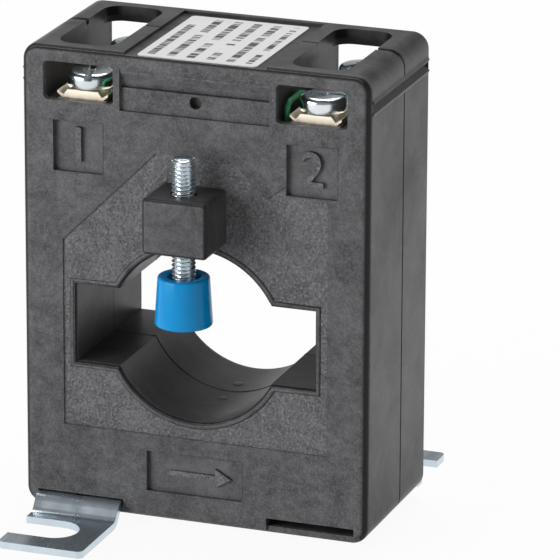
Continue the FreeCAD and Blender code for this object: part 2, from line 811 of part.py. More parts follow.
def clamp_screw():
    """A slotted set screw, plain outside where the thread runs."""
    body = new_body("bar_clamp_screw")
    low = "base + cap_low + cap_sole + seat_gap"
    sketch = new_sketch(body, "XZ_Plane", "clamp_screw_section")
    polygon(sketch, [
        ("0", low),
        ("thread_radius - thread_radius / 4", low),
        ("thread_radius", f"{low} + thread_radius / 4"),
        ("thread_radius", "base + clamp_screw_top - thread_radius / 4"),
        ("thread_radius - thread_radius / 4", "base + clamp_screw_top"),
        ("0", "base + clamp_screw_top"),
    ])
    turned = body.newObject("PartDesign::Revolution", "clamp_screw_turned")
    turned.Profile = sketch
    turned.ReferenceAxis = (sketch, ["V_Axis"])
    turned.Angle = 360
    doc.recompute()
    sketch = level(body, "clamp_slot_outline", "base + clamp_screw_top")
    rectangle(sketch, "-thread_radius * 2", "thread_radius * 2", "-clamp_slot_width / 2", "clamp_slot_width / 2")
    pocket(body, sketch, "clamp_slot", "clamp_slot_depth")
    place(body, "0", "clamp_y")


def clamp_nut():
    body = new_body("bar_clamp_nut")
    sketch = level(body, "nut_outline", "base + nut_low")
    rectangle(sketch, "-nut_size / 2", "nut_size / 2", "-nut_size / 2", "nut_size / 2")
    pad(body, sketch, "nut_block", "nut_height")
    sketch = level(body, "nut_hole_outline", "base + nut_low + nut_height")
    round_outline(sketch, "0", "0", "tapped_radius")
    pocket(body, sketch, "nut_hole")
    place(body, "0", "clamp_y")


def clamp_cap():
    """The tapered pressure cap, turned with its recess and the socket for the screw's end."""
    body = new_body("bar_clamp_cap")
    low = "base + cap_low"
    high = "base + cap_low + cap_height"
    sketch = new_sketch(body, "XZ_Plane", "cap_section")
    polygon(sketch, [
        ("0", low),
        ("cap_bottom_radius", low),
        ("cap_top_radius", high),
        ("cap_recess_radius", high),
        ("cap_recess_radius", f"{high} - cap_recess_depth"),
        ("tapped_radius", f"{high} - cap_recess_depth"),
        ("tapped_radius", f"{low} + cap_sole"),
        ("0", f"{low} + cap_sole"),
    ])
    turned = body.newObject("PartDesign::Revolution", "cap_turned")
    turned.Profile = sketch
    turned.ReferenceAxis = (sketch, ["V_Axis"])
    turned.Angle = 360
    doc.recompute()
    high_edge = value(high)
    low_edge = value(low)
    inner = value("cap_recess_radius") + 0.01
    rim = soften(body, "PartDesign::Fillet", turned, "cap_rim", "cap_round",
                 lambda edge: edge.BoundBox.XMax > inner and lies_at(edge, "Z", high_edge))
    soften(body, "PartDesign::Chamfer", rim, "cap_sole_edge", "cap_chamfer",
           lambda edge: lies_at(edge, "Z", low_edge))
    place(body, "0", "clamp_y")


clamp_screw()
clamp_nut()
clamp_cap()


# Feet


def foot(name, turned_round):
    """A bent sheet-steel foot: its tongue enters the casing and its open slot takes a screw."""
    body = new_body(name)
    sketch = sideways(body, f"{name}_profile")
    floor = "base + pocket_floor"
    # the upper corners of the step lie this much further out, so the sheet keeps its thickness there
    slope = "sqrt(foot_step_run ^ 2 + foot_drop ^ 2)"
    shift = f"foot_thickness * ({slope} - foot_step_run) / foot_drop"
    start = "front_face - foot_step_start"
    end = f"{start} - foot_step_run"
    polygon(sketch, [
        ("front_face + foot_tongue", floor),
        ("front_face + foot_tongue", f"{floor} + foot_thickness"),
        (f"{start} - {shift}", f"{floor} + foot_thickness"),
        (f"{end} - {shift}", "foot_thickness"),
        ("front_face - foot_reach", "foot_thickness"),
        ("front_face - foot_reach", "0"),
        (end, "0"),
        (start, floor),
    ])
    strip = pad(body, sketch, f"{name}_strip", "foot_width", middle=True)

    def crease(y, z):
        """A test for the edge that runs across the sheet at one corner of its profile."""
        depth = value(y)
        height = value(z)
        return lambda edge: lies_at(edge, "Y", depth) and lies_at(edge, "Z", height)

    upper_hollow = crease(f"{end} - {shift}", "foot_thickness")
    lower_hollow = crease(start, floor)
    upper_crest = crease(f"{start} - {shift}", f"{floor} + foot_thickness")
    lower_crest = crease(end, "0")
    bent = soften(body, "PartDesign::Fillet", strip, f"{name}_hollows", "foot_bend",
                  lambda edge: upper_hollow(edge) or lower_hollow(edge))
    bent = soften(body, "PartDesign::Fillet", bent, f"{name}_crests", "foot_bend + foot_thickness",
                  lambda edge: upper_crest(edge) or lower_crest(edge))
    tip = value("front_face - foot_reach")
    soften(body, "PartDesign::Fillet", bent, f"{name}_corners", "foot_corner",
           lambda edge: edge.BoundBox.ZLength > 0.5 and lies_at(edge, "Y", tip))
    slot_y = "front_face - foot_slot_place"
    slot_x = "foot_centre - foot_slot_end"
    sketch = level(body, f"{name}_slot_outline", "foot_thickness + foot_drop")
    rectangle(sketch, "-foot_width", slot_x, f"{slot_y} - foot_slot_width / 2", f"{slot_y} + foot_slot_width / 2")
    pocket(body, sketch, f"{name}_slot")
    sketch = level(body, f"{name}_slot_end_outline", "foot_thickness + foot_drop")
    round_outline(sketch, slot_x, slot_y, "foot_slot_width / 2")
    pocket(body, sketch, f"{name}_slot_end")
    if turned_round:
        body.Placement.Rotation = FreeCAD.Rotation(FreeCAD.Vector(0, 0, 1), 180)
        place(body, "foot_centre")
    else:
        place(body, "-foot_centre")


foot("foot_front", False)
foot("foot_rear", True)


# Label


def rating_label():
    body = new_body("rating_label")
    sketch = level(body, "label_sheet_outline", "top - label_recess_depth")
    rounded_rectangle(sketch, "-label_width / 2", "label_width / 2", "front_face + label_front",
                      "front_face + label_front + label_length", "label_corner")
    pad(body, sketch, "label_sheet", "label_thickness")


rating_label()
doc.recompute()

# Check and export

for item in doc.Objects:
    if any(word in ("Invalid", "Error") for word in item.State):
        raise ValueError(f"{item.Name} is {item.State}")

sub_parts = [item for item in doc.Objects
             if item.TypeId in ("PartDesign::Body", "Part::Feature")]
os.makedirs("parts", exist_ok=True)
for item in sub_parts:
    if item.Shape.isNull() or not item.Shape.isValid():
        raise ValueError(f"{item.Label} has no valid shape")
for item in sub_parts:
    item.Shape.exportStep(f"parts/{item.Label}.step")
    print(item.Label, len(item.Shape.Solids), round(item.Shape.Volume, 2))
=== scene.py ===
"""Looks of a window-type current transformer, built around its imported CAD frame.

Lengths are in metres unless a name says otherwise. The row frame has X to the right, Y from the
front to the rear and Z up, with its origin on the mounting surface below the casing.
"""

import json
import logging
import math
from contextlib import contextmanager
from dataclasses import dataclass, field
from enum import Enum
from functools import reduce
from typing import Callable, Iterator, Mapping, Sequence

import bmesh
import bpy
from bpy.types import Material, Node, NodeSocket, NodeTree, Object
from mathutils import Matrix, Vector


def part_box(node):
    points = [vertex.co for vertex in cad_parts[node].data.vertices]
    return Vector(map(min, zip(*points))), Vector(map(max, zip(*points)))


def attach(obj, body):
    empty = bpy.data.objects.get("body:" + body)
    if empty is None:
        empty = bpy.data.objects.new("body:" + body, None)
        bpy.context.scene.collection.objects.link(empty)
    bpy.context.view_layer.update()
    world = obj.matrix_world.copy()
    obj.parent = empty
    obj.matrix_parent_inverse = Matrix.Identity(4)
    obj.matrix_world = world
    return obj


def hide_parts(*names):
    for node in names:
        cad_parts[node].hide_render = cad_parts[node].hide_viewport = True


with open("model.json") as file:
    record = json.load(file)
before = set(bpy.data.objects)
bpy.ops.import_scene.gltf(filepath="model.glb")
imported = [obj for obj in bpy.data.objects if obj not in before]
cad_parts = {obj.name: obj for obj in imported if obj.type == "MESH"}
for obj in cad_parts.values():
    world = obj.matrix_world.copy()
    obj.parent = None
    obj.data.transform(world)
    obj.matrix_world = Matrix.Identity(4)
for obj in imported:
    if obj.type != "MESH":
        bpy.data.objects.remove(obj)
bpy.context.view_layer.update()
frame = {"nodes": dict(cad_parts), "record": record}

LOG = logging.getLogger("current_transformer")
MM = 0.001
FULL_TURN = 2 * math.pi
SLACK = 0.01 * MM
UPWARD = 0.9
Colour = tuple[float, float, float]
Point = tuple[float, float]
Value = float | Colour | NodeSocket

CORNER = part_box("front_shell")[1]
SEAM = CORNER.y
FRONT_FACE = -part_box("rear_shell")[1].y
BOSS_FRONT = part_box("front_shell")[0].y
WINDOW_HEIGHT = sum(corner.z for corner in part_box("core")) / 2


class Hand(Enum):
    """Side of the casing that a terminal is on, with its sign along X."""

    LEFT = -1
    RIGHT = 1


class End(Enum):
    """End of the casing that a terminal screw is at, with its sign along Y."""

    FRONT = -1
    REAR = 1


class Pick(Enum):
    """Kind of mesh element that a selection is made of."""

    EDGE = "edges"
    FACE = "faces"


# Modelling helpers


def deselect() -> None:
    """Leaves edit mode and empties the selection, because the frame comes in selected."""
    if bpy.context.object is not None and bpy.context.object.mode != "OBJECT":
        bpy.ops.object.mode_set(mode="OBJECT")
    bpy.ops.object.select_all(action="DESELECT")


def make_active(piece: Object) -> None:
    """Selects one object alone and makes it the active one.

    Args:
        piece: The object.
    """
    deselect()
    piece.select_set(True)
    bpy.context.view_layer.objects.active = piece


@contextmanager
def editing(piece: Object, action: str = "DESELECT") -> Iterator[None]:
    """Opens a piece in edit mode and closes it again.

    Args:
        piece: The mesh object to edit.
        action: SELECT to start with all of it selected.
    """
    make_active(piece)
    bpy.ops.object.mode_set(mode="EDIT")
    bpy.ops.mesh.select_all(action=action)
    yield
    bpy.ops.object.mode_set(mode="OBJECT")


def pick(piece: Object, kind: Pick, wanted: Callable[[object], bool]) -> None:
    """Selects the elements of the mesh in edit mode that pass a test.

    Args:
        piece: The object that is in edit mode.
        kind: Which elements are tested.
        wanted: The test, which gets a bmesh edge or face.
    """
    bpy.ops.mesh.select_mode(type=kind.name)
    bpy.ops.mesh.select_all(action="DESELECT")
    mesh = bmesh.from_edit_mesh(piece.data)
    for element in getattr(mesh, kind.value):
        if wanted(element):
            element.select_set(True)
    bmesh.update_edit_mesh(piece.data)


def bevel(offset: float, segments: int) -> None:
    """Rounds the selected edges."""
    bpy.ops.mesh.bevel(offset=offset, segments=segments, affect="EDGES")


def radius_of(point: Vector) -> float:
    """Distance of a point from the piece's own upright axis."""
    return math.hypot(point.x, point.y)


def rim(height: float, low: float, high: float) -> Callable[[object], bool]:
    """A test for the edges of a level ring.

    Args:
        height: The ring's height.
        low: The least radius of its ends.
        high: The largest radius of its ends.

    Returns:
        The test, for bmesh edges.
    """
    def test(edge: object) -> bool:
        """True for an edge of the ring."""
        return all(abs(vert.co.z - height) < SLACK and low <= radius_of(vert.co) <= high
                   for vert in edge.verts)
    return test


def cylinder(name: str, radius: float, depth: float, sides: int) -> Object:
    """Adds an upright cylinder that stands on the piece's own origin.

    Args:
        name: Name of the new object.
        radius: Its radius.
        depth: Its height.
        sides: How many sides its round has.

    Returns:
        The new object.
    """
    deselect()
    bpy.ops.mesh.primitive_cylinder_add(vertices=sides, radius=radius, depth=depth,
                                        location=(0, 0, depth / 2))
    piece = bpy.context.object
    piece.name = name
    bpy.ops.object.transform_apply(location=True, rotation=True, scale=True)
    return piece


def block(name: str, size: Sequence[float], centre: Sequence[float]) -> Object:
    """Adds a box.

    Args:
        name: Name of the new object.
        size: Its width, depth and height.
        centre: Its middle.

    Returns:
        The new object.
    """
    deselect()
    bpy.ops.mesh.primitive_cube_add(size=1, location=centre)
    piece = bpy.context.object
    piece.name = name
    piece.scale = size
    bpy.ops.object.transform_apply(location=True, rotation=True, scale=True)
    return piece


def cut(piece: Object, cutter: Object) -> None:
    """Takes the cutter's space out of a piece and removes the cutter.

    Args:
        piece: The piece.
        cutter: A closed mesh.
    """
    make_active(piece)
    boolean = piece.modifiers.new("cut", "BOOLEAN")
    boolean.operation = "DIFFERENCE"
    boolean.solver = "EXACT"
    boolean.object = cutter
    bpy.ops.object.modifier_apply(modifier=boolean.name)
    bpy.data.objects.remove(cutter)


def join(name: str, parts: Sequence[Object]) -> Object:
    """Joins several meshes into the first one.

    Args:
        name: Its new name.
        parts: The meshes.

    Returns:
        The joined object.
    """
    deselect()
    for part in parts:
        part.select_set(True)
    bpy.context.view_layer.objects.active = parts[0]
    bpy.ops.object.join()
    parts[0].name = name
    return parts[0]


def link(item: Object) -> None:
    """Puts a new object into the scene."""
    bpy.context.scene.collection.objects.link(item)


def copy_of(piece: Object, name: str) -> Object:
    """Copies a piece with a mesh of its own.

    Args:
        piece: The piece.
        name: The copy's name.

    Returns:
        The copy.
    """
    twin = piece.copy()
    twin.data = piece.data.copy()
    twin.name = name
    link(twin)
    return twin


def turn(piece: Object, angle: float, axis: str) -> None:
    """Turns a piece's mesh about an axis through the origin."""
    piece.data.transform(Matrix.Rotation(angle, 4, axis))


def shift(piece: Object, to: Sequence[float]) -> None:
    """Moves a piece's mesh, while its object stays at the origin."""
    piece.data.transform(Matrix.Translation(Vector(to)))


def smooth(piece: Object, degrees: float = 40) -> None:
    """Shades a piece smoothly, apart from creases sharper than the angle."""
    make_active(piece)
    bpy.ops.object.shade_smooth_by_angle(angle=math.radians(degrees))


def foot_of(node: str) -> Vector:
    """The middle of a CAD node's underside."""
    low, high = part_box(node)
    return Vector(((low.x + high.x) / 2, (low.y + high.y) / 2, low.z))


def size_of(node: str) -> Vector:
    """The width, depth and height of a CAD node."""
    low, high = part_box(node)
    return high - low


def bead(name: str, radius: float, depth: float, points: Sequence[Point], round_steps: int = 4) -> Object:
    """Makes a closed round bead along an outline in X and Z.

    Args:
        name: Name of the new object.
        radius: The bead's radius.
        depth: Where it lies along Y.
        points: The outline's points, in order.
        round_steps: How finely its round is divided.

    Returns:
        The new object.
    """
    curve = bpy.data.curves.new(name, "CURVE")
    curve.dimensions = "3D"
    curve.bevel_depth = radius
    curve.bevel_resolution = round_steps
    spline = curve.splines.new("POLY")
    spline.points.add(len(points) - 1)
    for point, (x, z) in zip(spline.points, points):
        point.co = (x, depth, z, 1)
    spline.use_cyclic_u = True
    piece = bpy.data.objects.new(name, curve)
    link(piece)
    make_active(piece)
    bpy.ops.object.convert(target="MESH")
    with editing(piece, "SELECT"):
        bpy.ops.mesh.normals_make_consistent(inside=False)
    smooth(piece, 60)
    return piece


# Node trees


class Graph:
    """A node tree, with the kinds of nodes that the finishes are made of."""

    def __init__(self, tree: NodeTree) -> None:
        """Takes over a tree."""
        self.tree = tree

    def add(self, kind: str) -> Node:
        """Adds a shader node of a kind, such as TexNoise."""
        return self.tree.nodes.new(f"ShaderNode{kind}")

    def find(self, kind: str) -> Node:
        """The tree's first node of a type, such as its surface shader."""
        return next(node for node in self.tree.nodes if node.type == kind)

    def plug(self, value: Value, into: NodeSocket) -> None:
        """Links a socket to another one, or sets a plain value there.

        Args:
            value: The socket that gives the value, or the value itself.
            into: The socket that gets it.
        """
        if isinstance(value, NodeSocket):
            self.tree.links.new(value, into)
        else:
            into.default_value = value

    def split(self, vector: NodeSocket) -> tuple[NodeSocket, NodeSocket, NodeSocket]:
        """Splits a vector into its X, Y and Z.

        Args:
            vector: The vector.

        Returns:
            The three values.
        """
        node = self.add("SeparateXYZ")
        self.plug(vector, node.inputs["Vector"])
        return node.outputs["X"], node.outputs["Y"], node.outputs["Z"]

    def calc(self, operation: str, *values: Value) -> NodeSocket:
        """Adds a math node.

        Args:
            operation: What it does.
            *values: What it works on, in order.

        Returns:
            Its value.
        """
        node = self.add("Math")
        node.operation = operation
        for value, into in zip(values, node.inputs):
            self.plug(value, into)
        return node.outputs[0]

    def fold(self, operation: str, values: Sequence[Value]) -> NodeSocket:
        """Works several values together, two at a time."""
        return reduce(lambda first, second: self.calc(operation, first, second), values)

    def times(self, *values: Value) -> NodeSocket:
        """The product of several values."""
        return self.fold("MULTIPLY", values)

    def plus(self, *values: Value) -> NodeSocket:
        """The sum of several values."""
        return self.fold("ADD", values)

    def most(self, *values: Value) -> NodeSocket:
        """The largest of several values."""
        return self.fold("MAXIMUM", values)

    def near(self, value: NodeSocket, middle: float, reach: float) -> NodeSocket:
        """A mask for the values within a reach of a middle."""
        return self.calc("COMPARE", value, middle, reach)

    def over(self, value: NodeSocket, least: float) -> NodeSocket:
        """A mask for the values over a limit."""
        return self.calc("GREATER_THAN", value, least)

    def under(self, value: NodeSocket, most: float) -> NodeSocket:
        """A mask for the values under a limit."""
        return self.calc("LESS_THAN", value, most)

    def remap(self, value: NodeSocket, low: float, high: float, to_low: float = 0.0,
              to_high: float = 1.0) -> NodeSocket:
        """Takes a value from one range to another, and clamps it there.

        Args:
            value: The value.
            low: Where its range starts.
            high: Where its range ends.
            to_low: What the start becomes.
            to_high: What the end becomes.

        Returns:
            The new value.
        """
        node = self.add("MapRange")
        for name, number in (("Value", value), ("From Min", low), ("From Max", high),
                             ("To Min", to_low), ("To Max", to_high)):
            self.plug(number, node.inputs[name])
        return node.outputs["Result"]

    def level(self, mask: NodeSocket, off: float, on: float) -> NodeSocket:
        """A value that a mask takes from one number to another."""
        return self.remap(mask, 0, 1, off, on)

    def noise(self, place: NodeSocket, scale: Value, detail: float, roughness: float = 0.5) -> NodeSocket:
        """Adds a noise texture.

        Args:
            place: The coordinates that it reads.
            scale: Its scale.
            detail: How many octaves it has.
            roughness: How strong the finer octaves are.

        Returns:
            Its value.
        """
        node = self.add("TexNoise")
        for name, value in (("Vector", place), ("Scale", scale), ("Detail", detail),
                            ("Roughness", roughness)):
            self.plug(value, node.inputs[name])
        return node.outputs["Fac"]

    def blend(self, mask: NodeSocket, low: Value, high: Value) -> NodeSocket:
        """Mixes two colours by a mask.

        Args:
            mask: The mask.
            low: The colour where the mask is 0.
            high: The colour where it is 1.

        Returns:
            The mixed colour.
        """
        node = self.add("Mix")
        node.data_type = "RGBA"
        self.plug(mask, node.inputs["Factor"])
        for name, colour in (("A", low), ("B", high)):
            socket = next(item for item in node.inputs if item.name == name and item.type == "RGBA")
            self.plug(colour if isinstance(colour, NodeSocket) else (*colour, 1), socket)
        return next(item for item in node.outputs if item.type == "RGBA")

    def choose(self, mask: NodeSocket, plain: Value, masked: Value) -> NodeSocket:
        """Mixes two numbers by a mask.

        Args:
            mask: The mask.
            plain: The number where the mask is 0.
            masked: The number where it is 1.

        Returns:
            The mixed number.
        """
        node = self.add("Mix")
        for name, value in (("Factor", mask), ("A", plain), ("B", masked)):
            self.plug(value, node.inputs[name])
        return node.outputs["Result"]


# Shared effects


class Effect(Graph):
    """A node group that reads a place and a scale and puts out masks."""

    def __init__(self, name: str, scale_name: str, scale: float, masks: Sequence[str]) -> None:
        """Makes the group with its inputs and outputs.

        Args:
            name: The group's name.
            scale_name: The name of its scale input.
            scale: That input's default.
            masks: The names of its outputs.
        """
        super().__init__(bpy.data.node_groups.new(name, "ShaderNodeTree"))
        sockets = self.tree.interface
        sockets.new_socket(name="Place", in_out="INPUT", socket_type="NodeSocketVector")
        size = sockets.new_socket(name=scale_name, in_out="INPUT", socket_type="NodeSocketFloat")
        size.default_value = scale
        for mask in masks:
            sockets.new_socket(name=mask, in_out="OUTPUT", socket_type="NodeSocketFloat")
        start = self.tree.nodes.new("NodeGroupInput")
        self.place, self.scale = start.outputs["Place"], start.outputs[scale_name]
        self.end = self.tree.nodes.new("NodeGroupOutput")

    def put_out(self, **masks: NodeSocket) -> NodeTree:
        """Links each mask to the output of its name.

        Args:
            **masks: The masks.

        Returns:
            The finished group.
        """
        for name, mask in masks.items():
            self.plug(mask, self.end.inputs[name])
        return self.tree


def moulded_grain() -> NodeTree:
    """Spark-eroded grain of a moulded face: a bump height, a tone mask and bright peaks.

    Returns:
        The node group.
    """
    group = Effect("moulded_grain", "Scale", 4000, ("Height", "Tone", "Peaks"))
    fine = group.noise(group.place, group.scale, detail=3, roughness=0.6)
    pits = group.add("TexVoronoi")
    pits.feature = "SMOOTH_F1"
    group.plug(group.place, pits.inputs["Vector"])
    group.plug(group.scale, pits.inputs["Scale"])
    craters = group.remap(pits.outputs["Distance"], 0.1, 0.7)
    height = group.plus(group.times(fine, 0.6), group.times(craters, 0.4))
    return group.put_out(Height=height, Tone=group.remap(height, 0.35, 0.7),
                         Peaks=group.remap(fine, 0.56, 0.72))


def handling_marks() -> NodeTree:
    """Cloudy marks and flow lines that any handled surface has.

    Returns:
        The node group.
    """
    group = Effect("handling_marks", "Cloud Scale", 60, ("Clouds", "Flow"))
    clouds = group.noise(group.place, group.scale, detail=4, roughness=0.55)
    flow = group.noise(group.place, group.times(group.scale, 3), detail=5, roughness=0.7)
    flow.node.inputs["Distortion"].default_value = 0.8
    return group.put_out(Clouds=group.remap(clouds, 0.35, 0.7), Flow=group.remap(flow, 0.35, 0.7))


def rolling_lines() -> NodeTree:
    """Fine lines of rolled or turned metal along one direction: a height and a sheen mask.

    Returns:
        The node group.
    """
    group = Effect("rolling_lines", "Scale", 400, ("Height", "Sheen"))
    lines = group.noise(group.place, group.scale, detail=4, roughness=0.6)
    return group.put_out(Height=lines, Sheen=group.remap(lines, 0.3, 0.7))


@dataclass
class SharedEffects:
    """The node groups that more than one material uses."""

    grain: NodeTree = field(default_factory=moulded_grain)
    handling: NodeTree = field(default_factory=handling_marks)
    rolling: NodeTree = field(default_factory=rolling_lines)


class Sheet(Graph):
    """A material under construction, with its surface shader and its coordinates."""

    def __init__(self, name: str, effects: SharedEffects) -> None:
        """Makes the material.

        Args:
            name: Name of the material.
            effects: The shared node groups.
        """
        self.material = bpy.data.materials.new(name)
        self.material.use_nodes = True
        super().__init__(self.material.node_tree)
        self.effects = effects
        self.shader = self.find("BSDF_PRINCIPLED")
        self.place = self.add("TexCoord").outputs["Object"]

    def mapped(self, place: NodeSocket, **settings: Colour) -> NodeSocket:
        """Moves, turns or scales coordinates.

        Args:
            place: The coordinates.
            **settings: A Location, Rotation or Scale.

        Returns:
            The new coordinates.
        """
        node = self.add("Mapping")
        self.plug(place, node.inputs["Vector"])
        for name, value in settings.items():
            node.inputs[name].default_value = value
        return node.outputs["Vector"]

    def effect(self, group: NodeTree, place: NodeSocket, **values: float) -> Mapping[str, NodeSocket]:
        """Places a shared group.

        Args:
            group: The group.
            place: The coordinates that it reads.
            **values: Numbers for its inputs, with underscores for spaces.

        Returns:
            The masks that it puts out, by name.
        """
        node = self.add("Group")
        node.node_tree = group
        self.plug(place, node.inputs["Place"])
        for name, number in values.items():
            node.inputs[name.replace("_", " ")].default_value = number
        return node.outputs

    def marks(self, scale: float) -> Mapping[str, NodeSocket]:
        """Places the handling marks: their masks are Clouds and Flow."""
        return self.effect(self.effects.handling, self.place, Cloud_Scale=scale)

    def grain(self, scale: float) -> Mapping[str, NodeSocket]:
        """Places the moulded grain: its masks are Height, Tone and Peaks."""
        return self.effect(self.effects.grain, self.place, Scale=scale)

    def bump(self, height: NodeSocket, distance: float, strength: float = 1.0,
             under: NodeSocket | None = None) -> NodeSocket:
        """Adds a bump.

        Args:
            height: The height mask.
            distance: How far one unit of height reaches.
            strength: How strong it is.
            under: A normal that this bump lies on.

        Returns:
            Its normal.
        """
        node = self.add("Bump")
        for name, value in (("Height", height), ("Distance", distance), ("Strength", strength)):
            self.plug(value, node.inputs[name])
        if under is not None:
            self.plug(under, node.inputs["Normal"])
        return node.outputs["Normal"]

    def roughness(self, mask: NodeSocket, middle: float, spread: Point) -> NodeSocket:
        """A roughness that a mask spreads to below and above its middle."""
        return self.level(mask, middle - spread[0], middle + spread[1])

    def surface(self, **values: Value) -> None:
        """Gives the surface shader what varies by links and what is uniform as plain numbers.

        Args:
            **values: What its inputs get, with underscores for spaces.
        """
        for name, value in values.items():
            self.plug(value, self.shader.inputs[name.replace("_", " ")])


# Finishes


@dataclass(frozen=True)
class Finish:
    """What every finish shares: each kind paints a sheet in its own way."""

    def paint(self, sheet: Sheet) -> None:
        """Adds the finish's nodes to a material."""
        raise NotImplementedError

    def build(self, name: str, effects: SharedEffects) -> Material:
        """Makes the material.

        Args:
            name: Name of the material.
            effects: The shared node groups.

        Returns:
            The material.
        """
        sheet = Sheet(name, effects)
        self.paint(sheet)
        return sheet.material


@dataclass(frozen=True)
class MouldedPlastic(Finish):
    """Smooth dyed thermoplastic, as it comes from a polished mould."""

    dark: Colour
    light: Colour
    roughness: float
    specular: float = 0.5
    spread: Point = (0.05, 0.07)
    cloud_scale: float = 60
    wave_depth: float = 0.003 * MM

    def paint(self, sheet: Sheet) -> None:
        """Adds the finish's nodes to a material.

        Args:
            sheet: The material under construction.
        """
        marks = sheet.marks(self.cloud_scale)
        sheet.surface(Base_Color=sheet.blend(marks["Flow"], self.dark, self.light),
                      Roughness=sheet.roughness(marks["Clouds"], self.roughness, self.spread),
                      Normal=sheet.bump(marks["Flow"], self.wave_depth),
                      Specular_IOR_Level=self.specular)


@dataclass(frozen=True)
class Regions:
    """Masks for the regions of the casing that its finish tells apart.

    Attributes:
        ends: The two end faces.
        face: The end faces and, weaker, the boss's front.
        sunk: The field round the window.
        recess: The floors of the mark recesses, which are smoother and paler.
        seam: The line between the two shells.
        outside: The sides, the top and the boss.
        skin: All that is not inside the casing; all that is inside gets painted shade.
        opening: The window and its edge in the end faces, where the painted shade on rounded edges is
            weaker than on the outside.
        groove: The groove across each side near the top, which gets painted shade.
    """

    ends: NodeSocket
    face: NodeSocket
    sunk: NodeSocket
    recess: NodeSocket
    seam: NodeSocket
    outside: NodeSocket
    skin: NodeSocket
    opening: NodeSocket
    groove: NodeSocket


